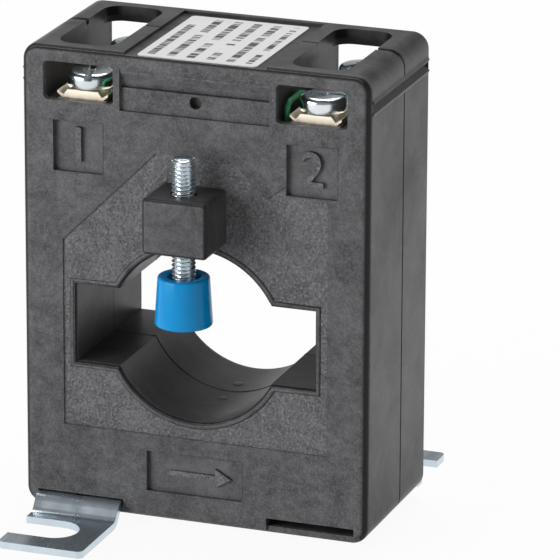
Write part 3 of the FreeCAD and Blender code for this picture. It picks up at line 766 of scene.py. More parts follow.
@dataclass(frozen=True)
class ErodedCasing(Finish):
    """The casing's black plastic: grained end faces, smooth sides and a seam between the shells, with
    painted shade on the rounded edges, in the side groove and inside the casing.
    """

    dark: Colour = (0.030, 0.030, 0.032)
    light: Colour = (0.150, 0.150, 0.156)
    peak: Colour = (0.24, 0.24, 0.25)
    # Dark colour of the seam line, a dark joint, and of the painted shade on rounded edges and in the side
    # groove.
    edge: Colour = (0.012, 0.012, 0.013)
    roughness: float = 0.36
    spread: Point = (0.06, 0.1)
    face_roughening: float = 0.10
    specular: float = 0.22
    cloud_scale: float = 45
    grain_scale: float = 3300
    grain_depth: float = 0.05 * MM
    coarse_scale: float = 2300
    coarse_depth: float = 0.22 * MM
    mottle_scale: float = 750
    mottle_range: Point = (0.35, 0.68)
    fine_weight: float = 0.30
    mottle_weight: float = 0.30
    recess_weight: float = 0.6
    recess_tone: float = 0.22
    pit_weight: float = 0.35
    flow_weight: float = 0.45
    scuff_weight: float = 0.55
    peak_weight: float = 0.9
    inside_painted_shade: float = 0.65
    face_start: float = 0.5 * MM
    face_band: float = 0.75 * MM
    field_depth: float = 0.25 * MM
    field_band: float = 0.08 * MM
    recess_depth: float = 0.85 * MM
    recess_band: float = 0.10 * MM
    boss_start: float = 1.0 * MM
    boss_band: float = 0.4 * MM
    boss_grain: float = 0.75
    edge_band: float = 1.5 * MM
    seam_width: float = 0.20 * MM
    seam_depth: float = 0.30 * MM
    seam_strength: float = 0.5
    round_start: Point = (0.15, 0.45)
    round_end: Point = (0.98, 0.86)
    parting_slope: float = 0.72
    parting_band: float = 0.05
    parting_end: Point = (0.5, 0.3)
    parting_shade: float = 0.2
    groove_height: float = 75.5 * MM
    groove_band: float = 0.85 * MM
    groove_shade: float = 0.75
    window_half_width: float = 22.4 * MM
    window_half_height: float = 16.2 * MM
    window_edge_start: float = 0.9 * MM
    window_edge_shade: float = 0.85

    def regions(self, sheet: Sheet) -> Regions:
        """Makes the masks for the casing's regions, from the place alone.

        Args:
            sheet: The material under construction.

        Returns:
            The masks.
        """
        x, y, z = sheet.split(sheet.place)
        aside, away = sheet.calc("ABSOLUTE", x), sheet.calc("ABSOLUTE", y)
        ends = sheet.near(away, -FRONT_FACE - self.face_start, self.face_band)
        boss = sheet.near(y, BOSS_FRONT, self.boss_band)
        face = sheet.most(ends, sheet.times(boss, self.boss_grain))
        outside = sheet.most(sheet.over(aside, CORNER.x - self.edge_band),
                             sheet.over(z, CORNER.z - self.edge_band),
                             sheet.under(y, FRONT_FACE - self.boss_start))
        opening = sheet.times(sheet.near(x, 0, self.window_half_width),
                              sheet.near(z, WINDOW_HEIGHT, self.window_half_height),
                              sheet.over(away, -FRONT_FACE - self.window_edge_start),
                              self.window_edge_shade)
        return Regions(
            ends=ends, face=face, outside=outside, opening=opening, skin=sheet.most(outside, face),
            sunk=sheet.near(y, FRONT_FACE + self.field_depth, self.field_band),
            recess=sheet.near(y, FRONT_FACE + self.recess_depth, self.recess_band),
            seam=sheet.near(y, SEAM, self.seam_width),
            groove=sheet.near(z, self.groove_height, self.groove_band))

    def painted_edge_shade(self, sheet: Sheet, where: NodeSocket) -> NodeSocket:
        """Makes the mask of painted shade on the rounded edges, which darkens them by the slope of their
        normal, without the parting line on the level ones.

        Args:
            sheet: The material under construction.
            where: A mask for the places whose rounded edges get painted shade.

        Returns:
            The mask.
        """
        x, y, _ = sheet.split(sheet.add("NewGeometry").outputs["Normal"])
        sideways, ahead = sheet.calc("ABSOLUTE", x), sheet.calc("ABSOLUTE", y)
        parting = sheet.times(sheet.near(ahead, self.parting_slope, self.parting_band),
                              sheet.remap(sideways, *self.parting_end))
        return sheet.times(sheet.remap(ahead, *self.round_start), sheet.remap(ahead, *self.round_end),
                           sheet.level(parting, 1, self.parting_shade), where)

    def tone(self, sheet: Sheet, fine: Mapping[str, NodeSocket], coarse: Mapping[str, NodeSocket],
             marks: Mapping[str, NodeSocket], where: Regions) -> NodeSocket:
        """Makes the plastic's colour, with painted shade inside the casing, before the painted shade on
        its edges and groove and before its dark seam.

        Args:
            sheet: The material under construction.
            fine: The fine grain's masks.
            coarse: The coarse grain's masks.
            marks: The handling marks' masks.
            where: The casing's regions.

        Returns:
            The colour.
        """
        mottle = sheet.remap(sheet.noise(sheet.place, self.mottle_scale, detail=3, roughness=0.65),
                             *self.mottle_range)
        grain = sheet.plus(sheet.times(fine["Tone"], self.fine_weight),
                           sheet.times(mottle, self.mottle_weight))
        grain = sheet.plus(sheet.times(grain, sheet.level(where.recess, 1, self.recess_weight)),
                           sheet.times(where.recess, self.recess_tone))
        pits = sheet.times(coarse["Tone"], where.sunk, self.pit_weight)
        level = sheet.plus(sheet.times(sheet.plus(grain, pits), where.face),
                           sheet.times(marks["Flow"], self.flow_weight))
        level.node.use_clamp = True
        # Painted shade: all that is inside the casing is darker.
        level = sheet.times(level, sheet.level(where.skin, self.inside_painted_shade, 1))
        scuffs = sheet.times(fine["Peaks"], where.face, marks["Clouds"], self.scuff_weight)
        peaks = sheet.times(coarse["Peaks"], where.sunk, self.peak_weight)
        return sheet.blend(sheet.most(scuffs, peaks), sheet.blend(level, self.dark, self.light), self.peak)

    def paint(self, sheet: Sheet) -> None:
        """Adds the finish's nodes to a material.

        Args:
            sheet: The material under construction.
        """
        fine, coarse = sheet.grain(self.grain_scale), sheet.grain(self.coarse_scale)
        marks = sheet.marks(self.cloud_scale)
        where = self.regions(sheet)
        # Painted shade: the groove across each side is darkened towards the edge colour.
        walls = sheet.times(where.outside, sheet.level(where.ends, 1, 0))
        shaded = sheet.times(where.groove, walls, self.groove_shade)
        # Painted shade: the rounded edges are darkened towards the edge colour by the slope of their
        # normal.
        edges = self.painted_edge_shade(sheet, sheet.most(where.outside, where.opening))
        base = self.tone(sheet, fine, coarse, marks, where)
        base = sheet.blend(sheet.most(edges, shaded), base, self.edge)
        cloudy = sheet.roughness(marks["Clouds"], self.roughness, self.spread)
        seam = sheet.bump(where.seam, self.seam_depth, self.seam_strength)
        seam.node.invert = True
        grained = sheet.bump(sheet.times(fine["Height"], where.face), self.grain_depth, under=seam)
        pitted = sheet.bump(sheet.times(coarse["Height"], where.sunk), self.coarse_depth, under=grained)
        sheet.surface(Base_Color=sheet.blend(where.seam, base, self.edge),
                      Roughness=sheet.plus(cloudy, sheet.times(where.face, self.face_roughening)),
                      Normal=pitted, Specular_IOR_Level=self.specular)


@dataclass(frozen=True)
class PlatedSteel(Finish):
    """Zinc-plated or passivated steel with rolling or turning lines."""

    pale: Colour
    deep: Colour
    roughness: float
    line_scale: float
    line_stretch: Colour
    line_depth: float = 0.004 * MM
    spread: Point = (0.06, 0.1)
    cloud_scale: float = 220
    spangle_scale: float = 900
    spangle_range: Point = (0.3, 0.7)
    spangle_least: float = 0.6

    def paint(self, sheet: Sheet) -> None:
        """Adds the finish's nodes to a material.

        Args:
            sheet: The material under construction.
        """
        stretched = sheet.mapped(sheet.place, Scale=self.line_stretch)
        lines = sheet.effect(sheet.effects.rolling, stretched, Scale=self.line_scale)
        spangle = sheet.remap(sheet.noise(sheet.place, self.spangle_scale, detail=2),
                              *self.spangle_range, self.spangle_least, 1)
        tint = sheet.times(sheet.marks(self.cloud_scale)["Clouds"], spangle)
        sheet.surface(Base_Color=sheet.blend(tint, self.pale, self.deep),
                      Roughness=sheet.roughness(lines["Sheen"], self.roughness, self.spread),
                      Normal=sheet.bump(lines["Height"], self.line_depth), Metallic=1)


@dataclass(frozen=True)
class WoundWire(Finish):
    """Enamelled wire laid side by side round a ring."""

    bright: Colour
    shadow: Colour
    wires: float
    cloud_scale: float = 90
    cloud_shade: float = 0.7
    ridge_height: float = 0.15 * MM
    roughness: Point = (0.45, 0.22)
    metallic: float = 0.85
    coat: float = 0.6

    def paint(self, sheet: Sheet) -> None:
        """Adds the finish's nodes to a material.

        Args:
            sheet: The material under construction.
        """
        centred = sheet.mapped(sheet.place, Location=(0, 0, -WINDOW_HEIGHT))
        around = sheet.add("TexGradient")
        around.gradient_type = "RADIAL"
        sheet.plug(sheet.mapped(centred, Rotation=(math.pi / 2, 0, 0)), around.inputs["Vector"])
        wave = sheet.calc("SINE", sheet.times(around.outputs["Fac"], self.wires * FULL_TURN))
        ridge = sheet.remap(wave, -1, 1)
        clouds = sheet.marks(self.cloud_scale)["Clouds"]
        # Painted shade and highlight: the colour is the shadow colour in the gaps between wires and the
        # bright colour on their crowns.
        shade = sheet.times(ridge, sheet.level(clouds, self.cloud_shade, 1))
        sheet.surface(Base_Color=sheet.blend(shade, self.shadow, self.bright),
                      Roughness=sheet.level(ridge, *self.roughness),
                      Normal=sheet.bump(ridge, self.ridge_height), Metallic=self.metallic,
                      Coat_Weight=self.coat)


@dataclass(frozen=True)
class WrappedFilm(Finish):
    """Polyester film wound over a ring in overlapping bands."""

    film: Colour
    lap: Colour
    bands: float
    band_stretch: Colour = (1, 0.15, 1)
    lap_range: Point = (0.48, 0.56)
    lap_height: float = 0.05 * MM
    cloud_scale: float = 140
    cloud_tint: float = 0.4
    roughness: Point = (0.18, 0.34)
    coat: float = 0.3

    def paint(self, sheet: Sheet) -> None:
        """Adds the finish's nodes to a material.

        Args:
            sheet: The material under construction.
        """
        folds = sheet.noise(sheet.mapped(sheet.place, Scale=self.band_stretch), self.bands, detail=2)
        laps = sheet.remap(folds, *self.lap_range)
        clouds = sheet.marks(self.cloud_scale)["Clouds"]
        tint = sheet.most(laps, sheet.times(clouds, self.cloud_tint))
        sheet.surface(Base_Color=sheet.blend(tint, self.film, self.lap),
                      Roughness=sheet.level(clouds, *self.roughness),
                      Normal=sheet.bump(laps, self.lap_height), Coat_Weight=self.coat)


@dataclass(frozen=True)
class PrintedFilm(Finish):
    """White label film with rows of dark dashes that stand in for print."""

    paper: Colour = (0.80, 0.79, 0.79)
    shaded: Colour = (0.80 * 0.96, 0.79 * 0.96, 0.79 * 0.96)
    ink: Colour = (0.05, 0.05, 0.055)
    roughness: Point = (0.38, 0.5)
    specular: float = 0.3
    cloud_scale: float = 120
    margin: float = 1.3 * MM
    row_pitch: float = 3.4 * MM
    row_start: float = 0.36
    row_end: float = 0.78
    row_jump: float = 7.3
    letter_scale: float = 2600
    letter_gap: float = 0.46
    word_scale: float = 210
    word_gap: float = 0.42
    word_shift: float = 0.37
    wave_scale: float = 900
    wave_depth: float = 0.003 * MM

    def within(self, sheet: Sheet, value: NodeSocket, low: float, high: float) -> NodeSocket:
        """A mask for the values between two limits."""
        return sheet.times(sheet.over(value, low), sheet.under(value, high))

    def strokes(self, sheet: Sheet, row: NodeSocket, along: NodeSocket, scale: float,
                least: float) -> NodeSocket:
        """Makes a mask of strokes along each row.

        Args:
            sheet: The material under construction.
            row: The row's number, which is spread so that no two rows are alike.
            along: The place along the row.
            scale: How many strokes there are to the metre.
            least: The noise value above which there is ink.

        Returns:
            The mask.
        """
        place = sheet.add("CombineXYZ")
        sheet.plug(sheet.times(row, self.row_jump), place.inputs["X"])
        sheet.plug(sheet.times(along, scale), place.inputs["Y"])
        return sheet.over(sheet.noise(place.outputs["Vector"], 1, detail=1), least)

    def paint(self, sheet: Sheet) -> None:
        """Adds the finish's nodes to a material.

        Args:
            sheet: The material under construction.
        """
        low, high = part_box("rating_label")
        across, along, _ = sheet.split(sheet.place)
        rows = sheet.calc("DIVIDE", sheet.calc("SUBTRACT", across, low.x), self.row_pitch)
        number = sheet.calc("FLOOR", rows)
        between = sheet.plus(number, self.word_shift)
        ink = sheet.times(self.within(sheet, sheet.calc("FRACT", rows), self.row_start, self.row_end),
                          self.within(sheet, across, low.x + self.margin, high.x - self.margin),
                          self.within(sheet, along, low.y + self.margin, high.y - self.margin),
                          self.strokes(sheet, number, along, self.letter_scale, self.letter_gap),
                          self.strokes(sheet, between, along, self.word_scale, self.word_gap))
        clouds = sheet.marks(self.cloud_scale)["Clouds"]
        waves = sheet.noise(sheet.place, self.wave_scale, detail=2)
        sheet.surface(Base_Color=sheet.blend(ink, sheet.blend(clouds, self.paper, self.shaded), self.ink),
                      Roughness=sheet.level(clouds, *self.roughness),
                      Normal=sheet.bump(waves, self.wave_depth), Specular_IOR_Level=self.specular)


class Finishes:
    """Every material of the object, made once and kept by its slot's name."""

    def __init__(self) -> None:
        """Builds the shared groups and the materials."""
        kinds: dict[str, Finish] = {
            "casing_plastic": ErodedCasing(),
            "cap_plastic": MouldedPlastic((0.0, 0.25, 0.58), (0.0, 0.275, 0.63), 0.24, 0.22),
            "lead_sleeve": MouldedPlastic((0.03, 0.30, 0.12), (0.04, 0.36, 0.16), 0.3),
            "screw_steel": PlatedSteel((0.78, 0.82, 0.85), (0.60, 0.69, 0.73), 0.20, 300, (1, 1, 3),
                                       0.0005 * MM),
            "zinc_steel": PlatedSteel((0.62, 0.70, 0.76), (0.55, 0.63, 0.70), 0.26, 90, (3, 0.6, 1),
                                      0.0005 * MM),
            "terminal_metal": PlatedSteel((0.95, 0.87, 0.73), (0.80, 0.69, 0.50), 0.36, 450, (6, 0.6, 1),
                                          0.002 * MM),
            "core_steel": PlatedSteel((0.42, 0.43, 0.46), (0.30, 0.31, 0.34), 0.42, 600, (1, 0.05, 1)),
            "winding_copper": WoundWire((0.62, 0.25, 0.10), (0.10, 0.03, 0.015), 260),
            "insulation_film": WrappedFilm((0.62, 0.50, 0.22), (0.46, 0.35, 0.12), 260),
            "label_film": PrintedFilm(),
        }
        effects = SharedEffects()
        self.by_slot = {slot: kind.build(slot, effects) for slot, kind in kinds.items()}
        LOG.info("built %d materials", len(self.by_slot))

    def cover(self, piece: Object, slot: str) -> None:
        """Gives a piece the material of a slot, and no other."""
        piece.data.materials.clear()
        piece.data.materials.append(self.by_slot[slot])

    def dress_nodes(self, nodes: dict[str, Object]) -> None:
        """Gives every CAD node its material.

        Args:
            nodes: The frame's nodes by name.
        """
        for row in frame["record"]["subparts"]:
            self.cover(nodes[row["node"]], row["material_slot"])
            LOG.info("%s is finished as %s", row["node"], row["material_slot"])

    def dress(self, piece: Object, body: str = "casing", slot: str = "casing_plastic",
              nodes: Sequence[str] = ()) -> None:
        """Gives a finished piece the material of its record slot and its body, and hides the CAD nodes
        that it stands for.

        Args:
            piece: The finished mesh object.
            body: The CAD body that it moves with.
            slot: The record's material slot.
            nodes: The CAD nodes that it stands for.
        """
        self.cover(piece, slot)
        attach(piece, body)
        if nodes:
            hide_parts(*nodes)
        LOG.info("%s rides on %s and stands for %s", piece.name, body, list(nodes) or "no node")


# Threaded pieces


@dataclass(frozen=True)
class Thread:
    """A right-hand thread on an upright shank."""

    radius: float = 1.98 * MM
    pitch: float = 0.7 * MM
    depth: float = 0.46 * MM
    sides: int = 56
    rings: int = 12
    lead_in: float = 0.5 * MM
    crease_degrees: float = 50

    def shank(self, name: str, length: float, chamfer_top: bool) -> Object:
        """Makes a shank that stands on the piece's own origin.

        Args:
            name: Name of the new object.
            length: Its length.
            chamfer_top: True if its upper end is chamfered as its lower one is.

        Returns:
            The new object.
        """
        piece = cylinder(name, self.radius, length, self.sides)
        wanted = length / self.pitch * self.rings
        coarse = max(2, round(math.sqrt(wanted)))
        fine = max(2, math.ceil(wanted / coarse))
        with editing(piece):
            for parts in (coarse, fine):
                pick(piece, Pick.EDGE, self.is_upright)
                bpy.ops.mesh.subdivide(number_cuts=parts - 1)
        for vert in piece.data.vertices:
            self.form(vert, length, chamfer_top)
        smooth(piece, self.crease_degrees)
        return piece

    @staticmethod
    def is_upright(edge: object) -> bool:
        """True for an edge along the shank."""
        first, second = (vert.co for vert in edge.verts)
        return radius_of(first - second) < SLACK / 100

    def form(self, vert: bpy.types.MeshVertex, length: float, chamfer_top: bool) -> None:
        """Moves one vertex to the thread's surface.

        Args:
            vert: The vertex.
            length: The shank's length.
            chamfer_top: True if the upper end is chamfered.
        """
        reach = radius_of(vert.co)
        if reach < self.radius / 2:
            return
        around = math.atan2(vert.co.y, vert.co.x) / FULL_TURN
        phase = (vert.co.z / self.pitch - around) % 1
        flank = 0.5 + 0.5 * math.cos(FULL_TURN * phase)
        end = min(vert.co.z, length - vert.co.z) if chamfer_top else vert.co.z
        wanted = min(self.radius - self.depth * flank, self.radius - self.lead_in + end)
        vert.co.x *= wanted / reach
        vert.co.y *= wanted / reach


@dataclass
class TerminalScrews:
    """Four pan-head screws with a slot and a cross recess, modelled once."""

    finishes: Finishes
    thread: Thread = Thread()
    head_radius: float = 3.8 * MM
    head_height: float = 2.6 * MM
    head_sides: int = 72
    head_round: float = 0.9 * MM
    head_steps: int = 8
    under_round: float = 0.15 * MM
    under_steps: int = 2
    slot_width: float = 1.2 * MM
    slot_depth: float = 1.0 * MM
    cross_length: float = 4.8 * MM
    cross_width: float = 1.2 * MM
    cross_depth: float = 1.7 * MM
    cross_taper: Point = (0.1, 0.5)
    overlap: float = 0.3 * MM
    front_degrees: Point = (104, 12)
    rear_degrees: Point = (70, 50)

    def head(self) -> Object:
        """Makes the head, standing on its underside.

        Returns:
            The new object.
        """
        height = self.head_height
        piece = cylinder("screw_head", self.head_radius, height, self.head_sides)
        with editing(piece):
            for level, offset, steps in ((height, self.head_round, self.head_steps),
                                         (0, self.under_round, self.under_steps)):
                pick(piece, Pick.EDGE, rim(level, self.head_radius / 2, 2 * self.head_radius))
                bevel(offset, steps)
        size = (3 * self.head_radius, self.slot_width, 2 * self.slot_depth)
        cut(piece, block("head_slot", size, (0, 0, height)))
        for across in (False, True):
            cut(piece, self.blade(across))
        return piece

    def blade(self, across: bool) -> Object:
        """Makes one tapered arm pair of the cross recess's cutter.

        Args:
            across: True for the arms along Y.

        Returns:
            The cutter.
        """
        size = (self.cross_length, self.cross_width, 2 * self.cross_depth)
        cutter = block("cross_blade", size, (0, 0, self.head_height))
        for vert in cutter.data.vertices:
            if vert.co.z < self.head_height:
                vert.co.x *= self.cross_taper[0]
                vert.co.y *= self.cross_taper[1]
        if across:
            turn(cutter, math.pi / 2, "Z")
        return cutter

    def build(self) -> None:
        """Models the screw, places a copy at each corner and dresses it."""
        shank_length = size_of("terminal_screw_left_front").z - self.head_height
        head = self.head()
        shift(head, (0, 0, shank_length))
        shank = self.thread.shank("screw_shank", shank_length + self.overlap, chamfer_top=False)
        pattern = join("screw_pattern", [head, shank])
        smooth(pattern)
        for hand, *both in zip(Hand, self.front_degrees, self.rear_degrees):
            for end, degrees in zip(End, both):
                spot = f"{hand.name}_{end.name}".lower()
                node = f"terminal_screw_{spot}"
                piece = copy_of(pattern, f"pan_head_screw_{spot}")
                turn(piece, math.radians(degrees), "Z")
                shift(piece, foot_of(node))
                self.finishes.dress(piece, f"screw_{spot}", "screw_steel", [node])
        bpy.data.objects.remove(pattern)


@dataclass
class ConductorClamp:
    """The slotted clamp screw and its blue pressure cap."""

    finishes: Finishes
    thread: Thread = Thread()
    slot_width: float = 0.8 * MM
    slot_depth: float = 0.9 * MM
    slot_degrees: float = 25
    cap_sides: int = 96
    recess_radius: float = 2.7 * MM
    recess_depth: float = 2.2 * MM
    socket_radius: float = 2.04 * MM
    sole: float = 1.6 * MM
    rim_round: float = 0.35 * MM
    rim_steps: int = 5
    top_radius: float = 4.25 * MM

    def build_screw(self) -> None:
        """Makes the threaded rod with its driver slot."""
        length = size_of("bar_clamp_screw").z
        piece = self.thread.shank("clamp_screw_threaded", length, chamfer_top=True)
        size = (4 * self.thread.radius, self.slot_width, 2 * self.slot_depth)
        cut(piece, block("driver_slot", size, (0, 0, length)))
        smooth(piece, self.thread.crease_degrees)
        turn(piece, math.radians(self.slot_degrees), "Z")
        shift(piece, foot_of("bar_clamp_screw"))
        self.finishes.dress(piece, "clamp_screw", "screw_steel", ["bar_clamp_screw"])

    def build_cap(self) -> None:
        """Makes the tapered cap with its recess and the socket for the screw."""
        size = size_of("bar_clamp_cap")
        foot_radius = size.x / 2
        taper = self.top_radius / foot_radius
        piece = cylinder("clamp_cap_moulded", foot_radius, size.z, self.cap_sides)
        with editing(piece):
            pick(piece, Pick.FACE, lambda face: face.normal.z > UPWARD)
            bpy.ops.transform.resize(value=(taper, taper, 1))
            bpy.ops.mesh.inset(thickness=self.top_radius - self.recess_radius)
            self.sink(self.recess_depth)
            bpy.ops.mesh.inset(thickness=self.recess_radius - self.socket_radius)
            self.sink(size.z - self.recess_depth - self.sole)
            pick(piece, Pick.EDGE, lambda edge: self.is_rim(edge, size.z, foot_radius))
            bevel(self.rim_round, self.rim_steps)
        smooth(piece)
        shift(piece, foot_of("bar_clamp_cap"))
        self.finishes.dress(piece, "clamp_cap", "cap_plastic", ["bar_clamp_cap"])

    @staticmethod
    def sink(depth: float) -> None:
        """Extrudes the selected face straight down."""
        bpy.ops.mesh.extrude_region_move(TRANSFORM_OT_translate={"value": (0, 0, -depth)})

    def is_rim(self, edge: object, height: float, foot_radius: float) -> bool:
        """Tells the cap's outer edges and the edge of its recess from all others.

        Args:
            edge: The edge.
            height: The cap's height.
            foot_radius: Its radius at the foot.

        Returns:
            True for an edge to be rounded.
        """
        slack = 5 * SLACK
        upper = rim(height, self.recess_radius - slack, self.top_radius + slack)
        lower = rim(0, foot_radius - slack, foot_radius + slack)
        along = radius_of(edge.verts[0].co) - radius_of(edge.verts[1].co)
        return abs(along) < slack and (upper(edge) or lower(edge))

    def build(self) -> None:
        """Builds both pieces."""
        self.build_screw()
        self.build_cap()


# Raised marks


@dataclass
class RaisedMarks:
    """Plain numbers in the two squares, a current arrow in the frame and a rim round each recess."""

    finishes: Finishes
    height: float = 0.55 * MM
    number_size: float = 8.4 * MM
    edge_round: float = 0.08 * MM
    edge_steps: int = 2
    number_steps: int = 6
    square_middle_x: float = 20.2 * MM
    square_middle_z: float = 64.2 * MM
    square_half: float = 4.4 * MM
    square_floor: float = 0.9 * MM
    frame_middle_z: float = 9.85 * MM
    frame_half_width: float = 8.45 * MM
    frame_half_height: float = 3.55 * MM
    frame_floor: float = 0.8 * MM
    arrow_length: float = 9.0 * MM
    arrow_bar: float = 0.9 * MM
    arrow_head: float = 1.9 * MM
    rim_radius: float = 0.17 * MM
    rim_rise: float = 0.07 * MM

    def seat(self, piece: Object, x: float, z: float, floor: float) -> None:
        """Stands a flat mark up on the floor of its recess and dresses it.

        Args:
            piece: The mark, lying flat about the origin.
            x: Its middle across the face.
            z: Its middle's height.
            floor: How deep its recess is.
        """
        turn(piece, math.pi / 2, "X")
        shift(piece, (x, FRONT_FACE + floor - self.height / 2, z))
        smooth(piece)
        self.finishes.dress(piece)

    def number(self, text: str, hand: Hand) -> None:
        """Makes one raised number.

        Args:
            text: The digit.
            hand: The side that it is on.
        """
        deselect()
        bpy.ops.object.text_add()
        words = bpy.context.object
        words.data.body = text
        words.data.size = self.number_size
        words.data.align_x = words.data.align_y = "CENTER"
        words.data.extrude = self.height / 2
        words.data.bevel_depth = self.edge_round
        words.data.bevel_resolution = self.edge_steps
        words.data.resolution_u = self.number_steps
        make_active(words)
        bpy.ops.object.convert(target="MESH")
        piece = bpy.context.object
        piece.name = f"terminal_number_{hand.name.lower()}"
        self.seat(piece, hand.value * self.square_middle_x, self.square_middle_z, self.square_floor)

    def arrow(self) -> None:
        """Makes the raised arrow that shows which way the current goes."""
        bar_length = self.arrow_length - self.arrow_head / 2
        bar = block("arrow_bar", (bar_length, self.arrow_bar, self.height), (-self.arrow_head / 4, 0, 0))
        deselect()
        bpy.ops.mesh.primitive_cylinder_add(vertices=3, radius=self.arrow_head, depth=self.height)
        head = bpy.context.object
        turn(head, -math.pi / 2, "Z")
        shift(head, (self.arrow_length / 2, 0, 0))
        for part in (bar, head):
            with editing(part, "SELECT"):
                bevel(self.edge_round, self.edge_steps)
        self.seat(join("current_arrow_mark", [bar, head]), 0, self.frame_middle_z, self.frame_floor)

    def recess_rim(self, name: str, x: float, z: float, wide: float, high: float) -> Object:
        """Makes the fine raised rim round one recess.

        Args:
            name: Name of the new object.
            x: The recess's middle across the face.
            z: Its middle's height.
            wide: Half its width.
            high: Half its height.

        Returns:
            The new object.
        """
        points = [(x - wide, z - high), (x + wide, z - high), (x + wide, z + high), (x - wide, z + high)]
        return bead(name, self.rim_radius, FRONT_FACE + self.rim_radius - self.rim_rise, points)

    def build(self) -> None:
        """Builds the three rims and the three marks."""
        left = self.recess_rim("mark_rim_left", -self.square_middle_x, self.square_middle_z,
                               self.square_half, self.square_half)
        right = copy_of(left, "mark_rim_right")
        shift(right, (2 * self.square_middle_x, 0, 0))
        below = self.recess_rim("mark_rim_frame", 0, self.frame_middle_z, self.frame_half_width,
                                self.frame_half_height)
        for piece in (left, right, below):
            self.finishes.dress(piece)
        for text, hand in zip("12", Hand):
            self.number(text, hand)
        self.arrow()


# Window


@dataclass
class WindowTrim:
    """The rounded lip round the window, the mould flash on the seam inside it and ejector marks."""

    finishes: Finishes
    round_radius: float = 14.8 * MM
    slot_half_width: float = 20.8 * MM
    slot_half_height: float = 6.65 * MM
    arc_steps: int = 48
    field_depth: float = 0.25 * MM
    lip_radius: float = 0.7 * MM
    lip_rise: float = 0.22 * MM
    flash_radius: float = 0.25 * MM
    flash_rise: float = 0.10 * MM
    ejector_radius: float = 0.9 * MM
    ejector_sides: int = 32
    ejector_rise: float = 0.09 * MM
    ejector_round: float = 0.6 * 0.09 * MM
    ejector_steps: int = 2
    ejector_reach: float = 3.9 * MM

    def outline(self, spread: float) -> list[Point]:
        """The window's outline in X and Z.

        Args:
            spread: How far outside the opening it runs.

        Returns:
            Its points, in order round the window.
        """
        radius = self.round_radius + spread
        width = self.slot_half_width + spread
        height = self.slot_half_height + spread
        meet = math.asin(height / radius)
        sweep = [meet + (math.pi - 2 * meet) * step / self.arc_steps for step in range(self.arc_steps + 1)]
        upper = [(radius * math.cos(angle), radius * math.sin(angle)) for angle in sweep]
        upper += [(-width, height), (-width, -height)]
        lower = [(-x, -z) for x, z in upper]
        return [(x, z + WINDOW_HEIGHT) for x, z in upper + lower]

    def ejector_marks(self) -> None:
        """Makes the two round marks at the bottom of the tube, one in each shell."""
        depth = 2 * self.ejector_rise
        pattern = cylinder("ejector_pattern", self.ejector_radius, depth, self.ejector_sides)
        with editing(pattern):
            pick(pattern, Pick.EDGE, rim(depth, 0, 2 * self.ejector_radius))
            bevel(self.ejector_round, self.ejector_steps)
        smooth(pattern)
        floor = WINDOW_HEIGHT - self.round_radius - self.ejector_rise
        for end in End:
            piece = copy_of(pattern, f"ejector_mark_{end.name.lower()}")
            shift(piece, (0, SEAM + end.value * self.ejector_reach, floor))
            self.finishes.dress(piece)
        bpy.data.objects.remove(pattern)

    def build(self) -> None:
        """Builds the lip, the flash and the marks."""
        lip_depth = FRONT_FACE + self.field_depth + self.lip_radius - self.lip_rise
        lip = bead("window_lip", self.lip_radius, lip_depth, self.outline(self.lip_radius))
        flash_outline = self.outline(self.flash_radius - self.flash_rise)
        flash = bead("seam_flash", self.flash_radius, SEAM, flash_outline)
        for piece in (lip, flash):
            self.finishes.dress(piece)
        self.ejector_marks()


# Studio


@dataclass(frozen=True)
class Softbox:
    """One area lamp that is aimed at the object."""

    name: str
    place: Colour
    size: float
    power: float


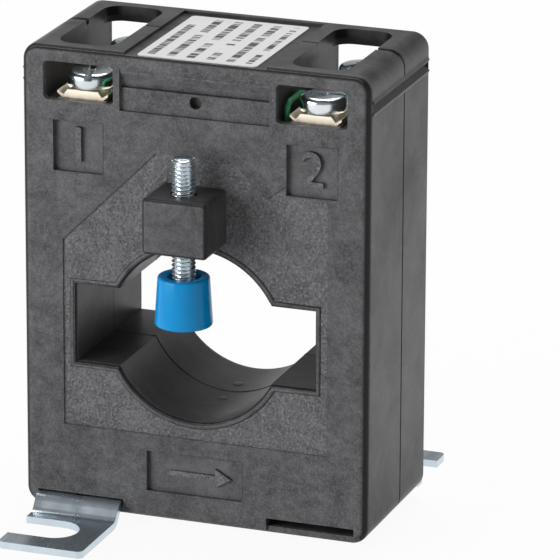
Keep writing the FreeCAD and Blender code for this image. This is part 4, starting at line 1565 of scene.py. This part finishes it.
@dataclass
class Studio:
    """The pale floor, the light and the camera."""

    aim: Colour = (0.0, 0.0, 0.038)
    camera_place: Colour = (0.2987, -0.7945, 0.3162)
    camera_heading: Colour = (-0.3253, 0.8933, -0.3102)
    camera_roll: float = 0.243
    lens: float = 347.4
    sensor: float = 36.0
    nearest: float = 0.05
    softboxes: tuple[Softbox, ...] = (
        Softbox("key_softbox", (-0.80, -0.85, 0.14), 0.9, 18.6),
        Softbox("side_softbox", (1.1, -0.30, 0.40), 0.7, 0.8),
        Softbox("top_softbox", (-0.1, 0.45, 1.1), 0.8, 9.5),
    )
    ambient: float = 0.20
    dim_room: float = 0.25
    backdrop_side: Point = (-0.1, 0.25)
    backdrop_top: Point = (0.30, 0.05)
    floor_size: float = 12
    floor_drop: float = 0.02 * MM
    floor_colour: Colour = (0.86, 0.86, 0.86)
    floor_roughness: float = 0.9
    floor_glow: float = 0.94

    def camera(self) -> None:
        """Places the camera at the photograph's viewing angle."""
        data = bpy.data.cameras.new("photo_camera")
        data.lens = self.lens
        data.sensor_width = self.sensor
        data.clip_start = self.nearest
        viewer = bpy.data.objects.new("photo_camera", data)
        link(viewer)
        heading = Vector(self.camera_heading).to_track_quat("-Z", "Y").to_matrix().to_4x4()
        roll = Matrix.Rotation(math.radians(self.camera_roll), 4, "Z")
        viewer.matrix_world = Matrix.Translation(Vector(self.camera_place)) @ heading @ roll
        bpy.context.scene.camera = viewer

    def lamps(self) -> None:
        """Hangs the softboxes."""
        for box in self.softboxes:
            data = bpy.data.lights.new(box.name, "AREA")
            data.size = box.size
            data.energy = box.power
            lamp = bpy.data.objects.new(box.name, data)
            link(lamp)
            heading = Vector(self.aim) - Vector(box.place)
            lamp.location = box.place
            lamp.rotation_euler = heading.to_track_quat("-Z", "Y").to_euler()

    @staticmethod
    def rays(graph: Graph) -> tuple[NodeSocket, NodeSocket]:
        """Makes masks for the rays that see the background.

        Args:
            graph: The tree that they go into.

        Returns:
            The mask of the camera's own rays, and that of the rays that metal or glass sends on.
        """
        path = graph.add("LightPath").outputs
        return path["Is Camera Ray"], graph.most(path["Is Glossy Ray"], path["Is Transmission Ray"])

    def world(self) -> None:
        """Makes a white backdrop behind the object, a dimmer room and soft grey ambient light."""
        world = bpy.data.worlds.new("studio_world")
        world.use_nodes = True
        bpy.context.scene.world = world
        graph = Graph(world.node_tree)
        light = graph.find("BACKGROUND")
        light.inputs["Color"].default_value = (1, 1, 1, 1)
        _, y, z = graph.split(graph.add("TexCoord").outputs["Generated"])
        behind = graph.times(graph.remap(y, *self.backdrop_side), graph.remap(z, *self.backdrop_top))
        backdrop = graph.level(behind, self.dim_room, 1)
        direct, mirrored = self.rays(graph)
        seen = graph.choose(mirrored, self.ambient, backdrop)
        graph.plug(graph.choose(direct, seen, 1.0), light.inputs["Strength"])

    def floor(self) -> None:
        """Lays the pale floor, which keeps a faint shadow of the object."""
        deselect()
        bpy.ops.mesh.primitive_plane_add(size=self.floor_size, location=(0, 0, -self.floor_drop))
        plane = bpy.context.object
        plane.name = "studio_floor"
        material = bpy.data.materials.new("studio_floor")
        material.use_nodes = True
        graph = Graph(material.node_tree)
        shader = graph.find("BSDF_PRINCIPLED")
        shader.inputs["Base Color"].default_value = (*self.floor_colour, 1)
        shader.inputs["Roughness"].default_value = self.floor_roughness
        shader.inputs["Specular IOR Level"].default_value = 0
        mix = graph.add("MixShader")
        seen = graph.most(*self.rays(graph))
        graph.plug(graph.times(seen, self.floor_glow), mix.inputs["Fac"])
        graph.plug(shader.outputs["BSDF"], mix.inputs[1])
        graph.plug(graph.add("Emission").outputs["Emission"], mix.inputs[2])
        graph.plug(mix.outputs["Shader"], graph.find("OUTPUT_MATERIAL").inputs["Surface"])
        plane.data.materials.append(material)

    def build(self) -> None:
        """Builds the whole studio."""
        bpy.context.scene.view_settings.view_transform = "Standard"
        self.camera()
        self.lamps()
        self.world()
        self.floor()


def main() -> None:
    """Dresses the frame, adds the finer pieces and sets the studio."""
    logging.basicConfig(level=logging.INFO, format="%(name)s: %(message)s")
    finishes = Finishes()
    finishes.dress_nodes(frame["nodes"])
    for assembly in (TerminalScrews, ConductorClamp, RaisedMarks, WindowTrim):
        assembly(finishes).build()
    Studio().build()


if __name__ == "__main__":
    main()
